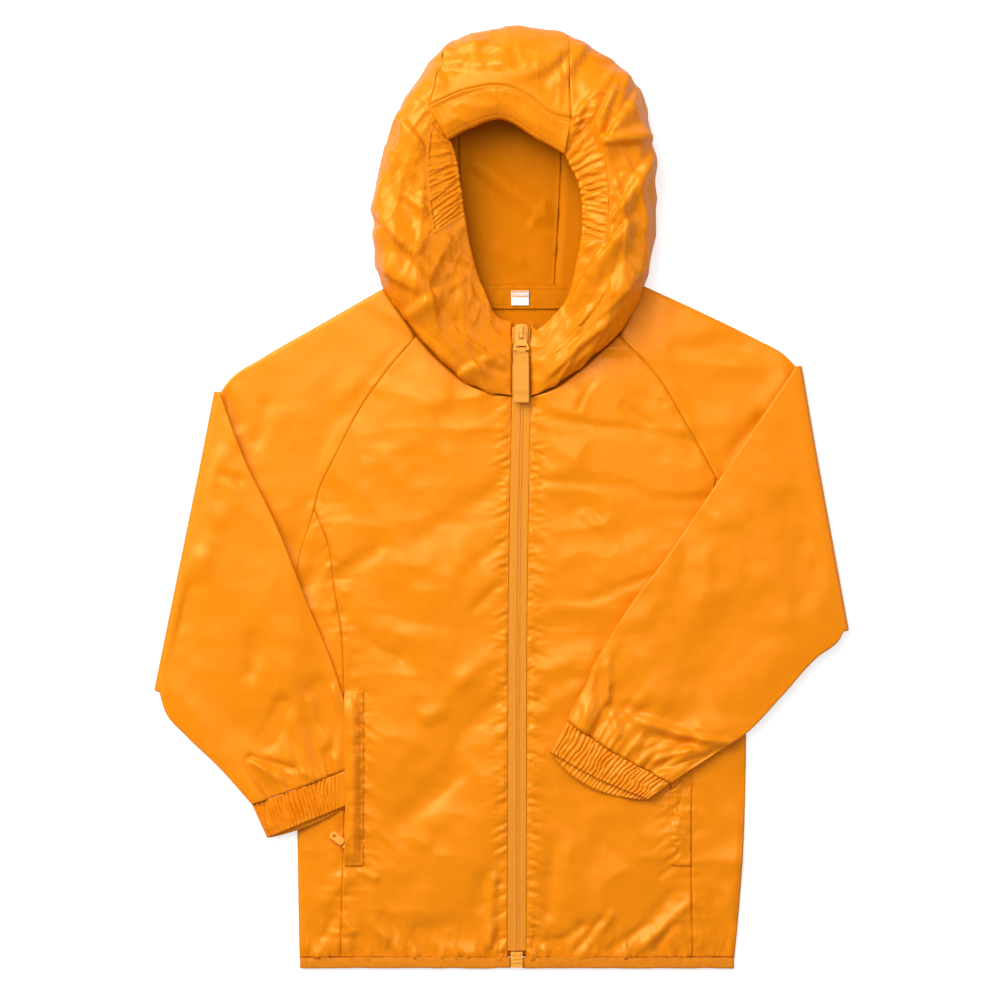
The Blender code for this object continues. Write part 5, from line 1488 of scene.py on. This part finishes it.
BAND_ROWS, BAND_COLUMNS = 150, 34
seam, edge = curve(BRIM_SEAM), curve(BRIM_EDGE)
share = np.linspace(0, 1, BAND_COLUMNS)
rows = []
for t in np.linspace(0, 1, BAND_ROWS):
    mouth, crest = edge(t), seam(t)
    plan = mouth[:2] + share[:, None] * (crest[:2] - mouth[:2])
    climb = np.sin(math.pi / 2 * share) ** 0.42
    rows.append(np.column_stack([plan, mouth[2] + climb * (crest[2] - mouth[2])]))
points = np.array(rows)
along = lengths(points, 0)[:, 20][:, None] * np.ones(BAND_COLUMNS)
share = share[None] * np.ones((BAND_ROWS, 1))
relief = 1.3 * facets(along / 15 + share, share * 1.5, 101) * (0.25 + 0.75 * share)
relief += 0.45 * soft_noise(along / 2.6, share * 4, 103) * ramp(share, 0.5, 1)
relief += folds(points[..., 0], points[..., 1], HOOD_CREASES) * 0.5 * share
from_end = np.minimum(along, along[-1:] - along)
relief *= ramp(from_end, 0, 5) * ramp(share, 1.0, 0.85)
relief -= 0.4 * bell(share, 0.9, 0.03) + 0.3 * bell(share, 0.12, 0.03)
HOOD_EDGES = [raised(points, relief, 75, 25)]
cut = (0.032, 0.10, 0.0029)
cloth("hood_brim", HOOD_EDGES[0][0], CRUMPLED)

CASING_STEPS, CASING_COLUMNS = 190, 30
for side, table, count, deep in (("left", HOOD_LEFT, 14, 0.6), ("right", HOOD_RIGHT, 11, 1.0)):
    station = hood_stations(table)
    numbers = np.linspace(CASING_ROWS[0] - 0.04, CASING_ROWS[1] + 0.04, 300)
    mouths = np.array([station(number)[:3] for number in numbers])
    steps = np.linalg.norm(np.diff(mouths, axis=0), axis=1)
    length = np.concatenate([[0], np.cumsum(steps)]) / steps.sum()
    places = np.linspace(0, 1, CASING_STEPS)
    share = np.linspace(0, CASING_SHARE + 0.03, CASING_COLUMNS)
    rows = []
    for place in places:
        mouth, crest, _ = hood_at(station, np.interp(place, length, numbers)).reshape(3, 3)
        plan = mouth[:2] + share[:, None] * (crest[:2] - mouth[:2])
        rows.append(np.column_stack([plan, mouth[2] + np.sin(math.pi / 2 * share) * (crest[2] - mouth[2])]))
    places, across = places[:, None], np.linspace(0, 1, CASING_COLUMNS)[None]
    bent = places + 0.05 * across * np.sin(9 * places)
    relief = 0.75 * deep * pleats(bent, count, 111 + count) * (0.6 + 0.4 * np.sin(math.pi * across))
    relief += 0.75 * soft_noise(places * 31 + across, across * 3.2, 113)
    relief += 0.3 * soft_noise(places * 60, across * 5, 114)
    relief -= 0.3 * bell(across, 0.12, 0.03) + 0.3 * bell(across, 0.9, 0.03)
    border = np.minimum(ramp(across, 1.0, 0.93), np.minimum(ramp(places, 0, 0.03), ramp(places, 1, 0.97)))
    relief = np.clip(relief, -1.1, 1.3) * border + 0.3 * (1 - border)
    points, faces_up = raised(np.array(rows), relief, 95, 22)
    HOOD_EDGES.append((points, faces_up))
    cut = (0.026, 0.12, 0.0020)
    cloth("hood_casing_" + side, points, CRUMPLED)

# %% [markdown]
# ## Front zip
#
# The zip is a reverse coil: its two woven tapes face outwards and meet over the coil, which is sewn
# beneath. What shows is a narrow ridge along the middle, with the coil's turns faintly raised in it.
# The tapes are sheets. The coil is one joined mesh, two short slanted bars for each turn.


# %% Zip tapes and coil
COIL_PITCH = 1.25
TAPE_START, TAPE_TOP = 0.12, 119.5  # how far from the middle a tape starts, and y of its upper end
TURN_DEPTH = 0.07

for side, sign in (("left", -1), ("right", 1)):
    u, v = np.meshgrid(np.linspace(0, 1, 22), np.linspace(0, 1, 1100))
    y = ZIP_FOOT + 0.1 + v * (TAPE_TOP - ZIP_FOOT)
    out = TAPE_START + u * (TAPE_OUT + 0.5 - TAPE_START)
    ridge = 0.34 * (1 - ramp(out, 1.1, 2.1)) - 0.5 * (1 - ramp(out, 0.1, 0.5))
    turns = np.sin(2 * math.pi * (y + sign * 0.3 + out * 0.4) / COIL_PITCH) * (1 - ramp(out, 1.0, 1.6))
    grain = 0.06 * soft_noise(y / 9, out / 4 + sign, 121)
    height = zip_mid(y) - 0.15 + ridge + TURN_DEPTH * turns + grain
    points = np.stack([zip_x(y) + sign * out, y, height], -1)[:, ::sign]
    cut = (0.010, 0.436, 0.00275)
    cloth("zip_tape_" + side, points, TAPE, shell=0.5)


def joined(name, verts, faces, look, body=BODY, slot="cloth", solid=None):
    """One mesh from lists of points in millimetres and faces, with its faces turned outwards."""
    mesh = bpy.data.meshes.new(name)
    mesh.from_pydata([tuple(value * MM for value in vert) for vert in verts], [], faces)
    shape = bmesh.new()
    shape.from_mesh(mesh)
    bmesh.ops.recalc_face_normals(shape, faces=shape.faces)
    shape.to_mesh(mesh)
    shape.free()
    mesh.shade_smooth()
    mesh.materials.append(look)
    piece = bpy.data.objects.new(name, mesh)
    bpy.context.collection.objects.link(piece)
    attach(piece, body)
    if solid:
        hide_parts(solid)
    return piece


SWELL = (0.6, 1.0, 1.0, 0.6)  # a bar's thickness at each of its four centre points


def bars(lines, radius, sides=4, squash=1.0):
    """Short round bars, one for each row of centre points, as lists of points and faces."""
    verts, faces = [], []
    angles = 2 * math.pi * (np.arange(sides) + 0.5) / sides
    for line in lines:
        way = line[-1] - line[0]
        way = way / np.linalg.norm(way)
        flat = np.cross(way, (0, 0, 1.0))
        flat = flat / max(np.linalg.norm(flat), 1e-6)
        rise = np.cross(flat, way)
        first = len(verts)
        for centre, grow in zip(line, SWELL):
            for angle in angles:
                spoke = math.cos(angle) * flat + squash * math.sin(angle) * rise
                verts.append(centre + radius * grow * spoke)
        for ring in range(len(line) - 1):
            for k in range(sides):
                a, b = first + ring * sides + k, first + ring * sides + (k + 1) % sides
                faces.append((a, b, b + sides, a + sides))
        faces.append(tuple(first + k for k in range(sides)))
        faces.append(tuple(first + (len(line) - 1) * sides + k for k in range(sides)))
    return verts, faces


coil = []
for y in np.arange(ZIP_FOOT + 1, CHAIN_TOP - 0.5, COIL_PITCH):
    centre, low = float(zip_x(y)), float(zip_mid(y)) - 0.55
    for sign in (-1, 1):
        across = sign * np.array([-0.25, 0.1, 0.55, 0.9])
        coil.append(np.array([[centre + x, y + sign * 0.31 + 0.25 * abs(x), low] for x in across]))
verts, faces = bars(coil, 0.3, sides=6)
orange_coil = plastic("orange_coil", (0.86, 0.34, 0.03), 0.35)
joined("zip_coil", verts, faces, orange_coil, slot="chain", solid="zip_chain")
print(len(coil), "bars in the coil,", len(verts), "points")

# %% [markdown]
# ## Slider, pull and foot
#
# The slider, its bell-shaped tab and the zip's foot box are moulded in orange plastic or painted metal.
# Their solids already have the right form, so they stay, with their edges rounded and a satin finish.
# A small crown is raised on the slider's bridge, and two knobs and two ribs on the foot box.

# %% Moulded pieces
MOULDED = plastic("orange_moulded", (0.90, 0.36, 0.05), 0.32)
EDGE_RADII = {
    "zip_slider": 0.35, "zip_pull": 0.4, "pocket_slider": 0.3, "pocket_pull": 0.4, "zip_foot_box": 0.6,
}
for name, radius in EDGE_RADII.items():
    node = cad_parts[name]
    node.data.materials.clear()
    node.data.materials.append(MOULDED)
    rounding = node.modifiers.new("rounded edges", "BEVEL")
    rounding.width = radius * MM
    rounding.segments = 3
    rounding.limit_method = "ANGLE"
    rounding.harden_normals = False

bpy.ops.object.select_all(action="DESELECT")


def small_part(kind, name, place, size):
    """A rounded block or a ball of a given size in millimetres, with its place kept in the mesh."""
    spot, scale = Vector(place) * MM, [value * MM for value in size]
    if kind == "block":
        bpy.ops.mesh.primitive_cube_add(size=1, location=spot, scale=scale)
    else:
        bpy.ops.mesh.primitive_uv_sphere_add(
            segments=20, ring_count=10, radius=0.5, location=spot, scale=scale
        )
    part = bpy.context.object
    part.name = name
    bpy.ops.object.transform_apply(location=True, rotation=True, scale=True)
    if kind == "block":
        bpy.ops.object.mode_set(mode="EDIT")
        bpy.ops.mesh.select_all(action="SELECT")
        bpy.ops.mesh.bevel(offset=min(size) * 0.3 * MM, segments=2)
        bpy.ops.object.mode_set(mode="OBJECT")
    bpy.ops.object.shade_smooth_by_angle(angle=math.radians(40))
    part.data.materials.append(MOULDED)
    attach(part, BODY)


foot_low, foot_high = (Vector(corner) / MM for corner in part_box("zip_foot_box"))
foot_x, foot_top = (foot_low.x + foot_high.x) / 2, foot_high.z
bridge_top = HINGE_Z + BRIDGE_RISE + BRIDGE_WALL
# kind, name, place and size
SMALL_PARTS = [
    ("ball", "slider_crown", (ZIP_X, HINGE_Y - 0.3, bridge_top - 0.3), (2.6, 3.0, 1.5)),
    ("ball", "foot_knob_1", (foot_x - 2.0, foot_high.y - 1.6, foot_top - 0.1), (2.6, 2.6, 1.3)),
    ("ball", "foot_knob_2", (foot_x + 2.0, foot_high.y - 1.6, foot_top - 0.1), (2.6, 2.6, 1.3)),
    ("block", "foot_rib_1", (foot_x, foot_high.y - 4.6, foot_top + 0.1), (5.6, 1.1, 0.9)),
    ("block", "foot_rib_2", (foot_x, foot_high.y - 7.2, foot_top + 0.1), (5.6, 1.1, 0.9)),
]
for row in SMALL_PARTS:
    small_part(*row)
print(len(SMALL_PARTS), "small parts, the slider's bridge", round(bridge_top, 1), "mm high")

# %% [markdown]
# ## Pull ribbon
#
# A woven ribbon is threaded through the tab's slot, folded over the bar and sewn to itself near its end.
# It hangs from the tab, so it moves with it.

# %% Pull ribbon
BAR_Y = 105  # about the bar that the ribbon is folded over
RIBBON_COLUMNS = 30
# y, and height from the hinge, of the lower run, the turn round the bar and the upper run
LOWER_RUN = [(80, -0.42), (98, -0.42), (101.2, -0.75), (102.6, -1.3), (104.2, -1.35)]
TURN = [(104.95, -0.9), (105.2, 0.0), (104.95, 0.9)]
UPPER_RUN = [(104.2, 1.35), (102.6, 1.3), (101.2, 0.8), (98, 0.42), (80, 0.4)]
path = [(RIBBON_FOOT + 0.2, -0.42)] + LOWER_RUN + TURN + UPPER_RUN + [(RIBBON_FOOT + 0.2, 0.3)]
run = curve([(y, z, 0) for y, z in path])(np.linspace(0, 1, 200))[:, :2]
along, rise = run[:, :1], run[:, 1:]
u = np.linspace(-1, 1, RIBBON_COLUMNS)[None]
half = np.where(along > 102.3, 3.2, RIBBON_HALF - 2.2 * ramp(along, 101.2, 102.4))
wave = 0.10 * soft_noise(along / 5, u * 1.5, 131) * ramp(np.abs(along - BAR_Y), 2, 8)
y = np.repeat(along, RIBBON_COLUMNS, 1)
points = np.stack([ZIP_X + u * half, y, HINGE_Z + rise + wave], -1)
cloth(
    "pull_ribbon", points, RIBBON,
    shell=0.5, body="main_pull",
)

# %% [markdown]
# ## Neck band and label
#
# A narrow band of the same cloth covers the seam between the back and the hood.
# A small white label is sewn to its middle, with two rows of plain bars and a line across it.

# %% Neck band and label
band_low, band_high = NECK_BAND
u, v = np.meshgrid(np.linspace(0, 1, 150), np.linspace(0, 1, 26))
x = band_low[0] - 1 + u * (band_high[0] - band_low[0] + 2)
y = band_low[1] - 0.4 + v * (band_high[1] - band_low[1] + 2.6)
top = band_high[1]
height = WALL + TRIM_GAP + 0.55 + 0.25 * np.sin(math.pi * v) ** 0.4
height += 0.28 * soft_noise(x / 4.2, y / 9, 141)
height += 0.25 * ramp(y, top - 1.0, top + 1.0) - 0.2 * bell(y, band_low[1] + 1.6, 0.5)
y = y + 0.35 * soft_noise(x / 21, 0.5, 143) * (v > 0.5)
NECK_POINTS = np.stack([x, y, height], -1)
# the neck band takes the darker inside finish, which is painted shade
cloth("neck_band", NECK_POINTS, SHADED_INSIDE)

label_low, label_high = LABEL
u, v = np.meshgrid(np.linspace(0, 1, 30), np.linspace(0, 1, 26))
x = label_low[0] + 0.1 + u * (label_high[0] - label_low[0] - 0.2)
y = label_low[1] + 0.1 + v * (label_high[1] - label_low[1] - 0.2)
flat = WALL + 2 * TRIM_GAP + TRIM_WALL + 0.55
height = flat + 0.22 * np.sin(math.pi * u) * np.sin(math.pi * v) + 0.1 * soft_noise(x / 4, y / 4, 145)
LABEL_POINTS = np.stack([x, y, height], -1)
WHITE_CLOTH = woven(
    "white_label_cloth", (0.78, 0.77, 0.76), (0.84, 0.83, 0.82), 0.6,
    (0.0004, 0.00003), (0.01, 0.00002), gloss=(1, 1, 1),
)
cut = (0.0126, 0.0106, 0.000130)
cloth("label", LABEL_POINTS, WHITE_CLOTH, shell=0.35)
lines = []
for row in (0, 1):
    for column in range(9):
        x = label_low[0] + 1.0 + column * 1.32
        y = label_high[1] - 1.1 - row * 2.0
        bar = ((-0.55, 0.24), (-0.3, 0.34), (0.3, 0.34), (0.55, 0.24))
        lines.append(np.array([[x, y + step, flat + rise] for step, rise in bar]))
width = label_high[0] - label_low[0]
y = label_high[1] - 4.3
lines.append(np.array([[label_low[0] + t * width, y, flat + 0.3] for t in (0.03, 0.3, 0.7, 0.97)]))
joined("label_stripes", *bars(lines, 0.5, squash=0.4), THREAD, slot="label")
print(len(lines), "bars on the label")


# %% [markdown]
# ## Topstitching
#
# Every seam edge is topstitched with thread of the cloth's own colour.
# A stitch is a short bar whose ends dip into the cloth, and the rows of an area are one joined mesh.


# %% Rows of stitches
STITCH, STITCH_GAP, THREAD_RADIUS = 2.0, 0.9, 0.26


def stitched(name, lines, body=BODY, length=STITCH, gap=STITCH_GAP):
    """Rows of stitches along lines of points on the upper face of the cloth."""
    rows = []
    for line in lines:
        steps = np.linalg.norm(np.diff(line, axis=0), axis=1)
        place = np.concatenate([[0], np.cumsum(steps)])
        for start in np.arange(gap, place[-1] - length, length + gap):
            at = start + length * np.array([0.0, 0.25, 0.75, 1.0])
            centre = np.stack([np.interp(at, place, line[:, axis]) for axis in range(3)], -1)
            centre[:, 2] += np.array([-0.08, 0.06, 0.06, -0.08])
            rows.append(centre)
    joined(name, *bars(rows, THREAD_RADIUS), THREAD, body=body)
    print(name, len(rows), "stitches")


def on_body(x, y):
    """A line over the front, at each x and y."""
    x, y = np.broadcast_arrays(x, np.asarray(y, float))
    return np.stack([x, y, body_height(x, y) + SHELL / 2], -1)


def down(y0, y1):
    return np.linspace(y0, y1, int(abs(y1 - y0)) + 2)


def on_sheet(points, column, sign):
    """A line down a panel's grid, on the side that its stitches show on."""
    return (points + sign * facing(points) * SHELL / 2)[:, column]


FROM_EDGE = 1.9  # from a panel's edge beside the zip to its stitches
rows = []
for start, off in ((94, -ZIP_HALF - FROM_EDGE), (94, ZIP_HALF + FROM_EDGE), (-100, ZIP_HALF + 6.2)):
    y = down(start, HEM_TOP + 2)
    rows.append(on_body(zip_x(y) + off, y))
stitched("zip_stitches", rows)

rows = []
for x0, x1 in ((SIDE_LEFT[0][0] + 3, 2), (20, SIDE_RIGHT[0][0] - 3)):
    x = np.linspace(x0, x1, 200)
    rows.append(on_body(x, HEM_TOP + 1.0))
stitched("hem_stitches", rows)

rows = []
for seam, off in (
    (PRINCESS_LEFT, 1.5),
    (RAGLAN_LEFT, 1.5),
    (PRINCESS_RIGHT, -1.5),
    (RAGLAN_RIGHT, -1.5),
):
    line = curve(seam)(np.linspace(0.01, 0.99, 160))
    rows.append(on_body(line[:, 0] + off, line[:, 1]))
stitched("seam_stitches", rows)

rows = []
for welt, lift in ((WELT_LEFT, WELT_LIFT), (WELT_RIGHT, 0.0)):
    free, sewn, top, low = welt
    beyond = 1.2 if sewn > free else -1.2
    y = down(low + 1, top - 1)
    rows.append(on_body(np.full(len(y), sewn + beyond), y) + [0, 0, 0.1])
    x = np.linspace(free, sewn + beyond, 30)
    for end in (low - 0.9, top + 0.9):
        rows.append(on_body(x, end))
    for end in (low + 1.3, top - 1.3):
        level = welt_height(x, end, welt, lift) + 0.2
        rows.append(np.stack([x, np.full(30, end), level], -1)[1:-3])
stitched("welt_stitches", rows)

rows = []
for points in CUFF_POINTS:
    upper = slice(points.shape[1] // 2 + 1, None)
    for ring in (3, 22):
        line = points[ring, upper] + [0, 0, SHELL / 2]
        rows.append(line[np.argsort(line[:, 0])])
stitched("cuff_stitches", rows, length=1.6)

rows = []
for points, sign in HOOD_EDGES:
    rows += [on_sheet(points, column, sign) for column in (3, -4)]
stitched("hood_stitches", rows, length=1.6)

stitched("neck_stitches", [NECK_POINTS[row] + [0, 0, SHELL / 2] for row in (3, 22)])
stitched("label_stitches", [LABEL_POINTS[24] + [0, 0, 0.2]], length=1.2, gap=0.5)

rows = []
for y in (73.4, 74.6):
    rows.append(np.array([[ZIP_X + x, y, HINGE_Z + 0.72] for x in np.linspace(-4.8, 4.8, 12)]))
stitched("ribbon_stitches", rows, body="main_pull", length=1.1, gap=0.4)

# %% Sizes and the finish
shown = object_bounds()
sizes = {"cad": [list(corner) for corner in CAD_BOX], "visual": [list(corner) for corner in shown]}
for label, box in sizes.items():
    print(label, [round((high - low) / MM, 1) for low, high in zip(*box)], "mm")
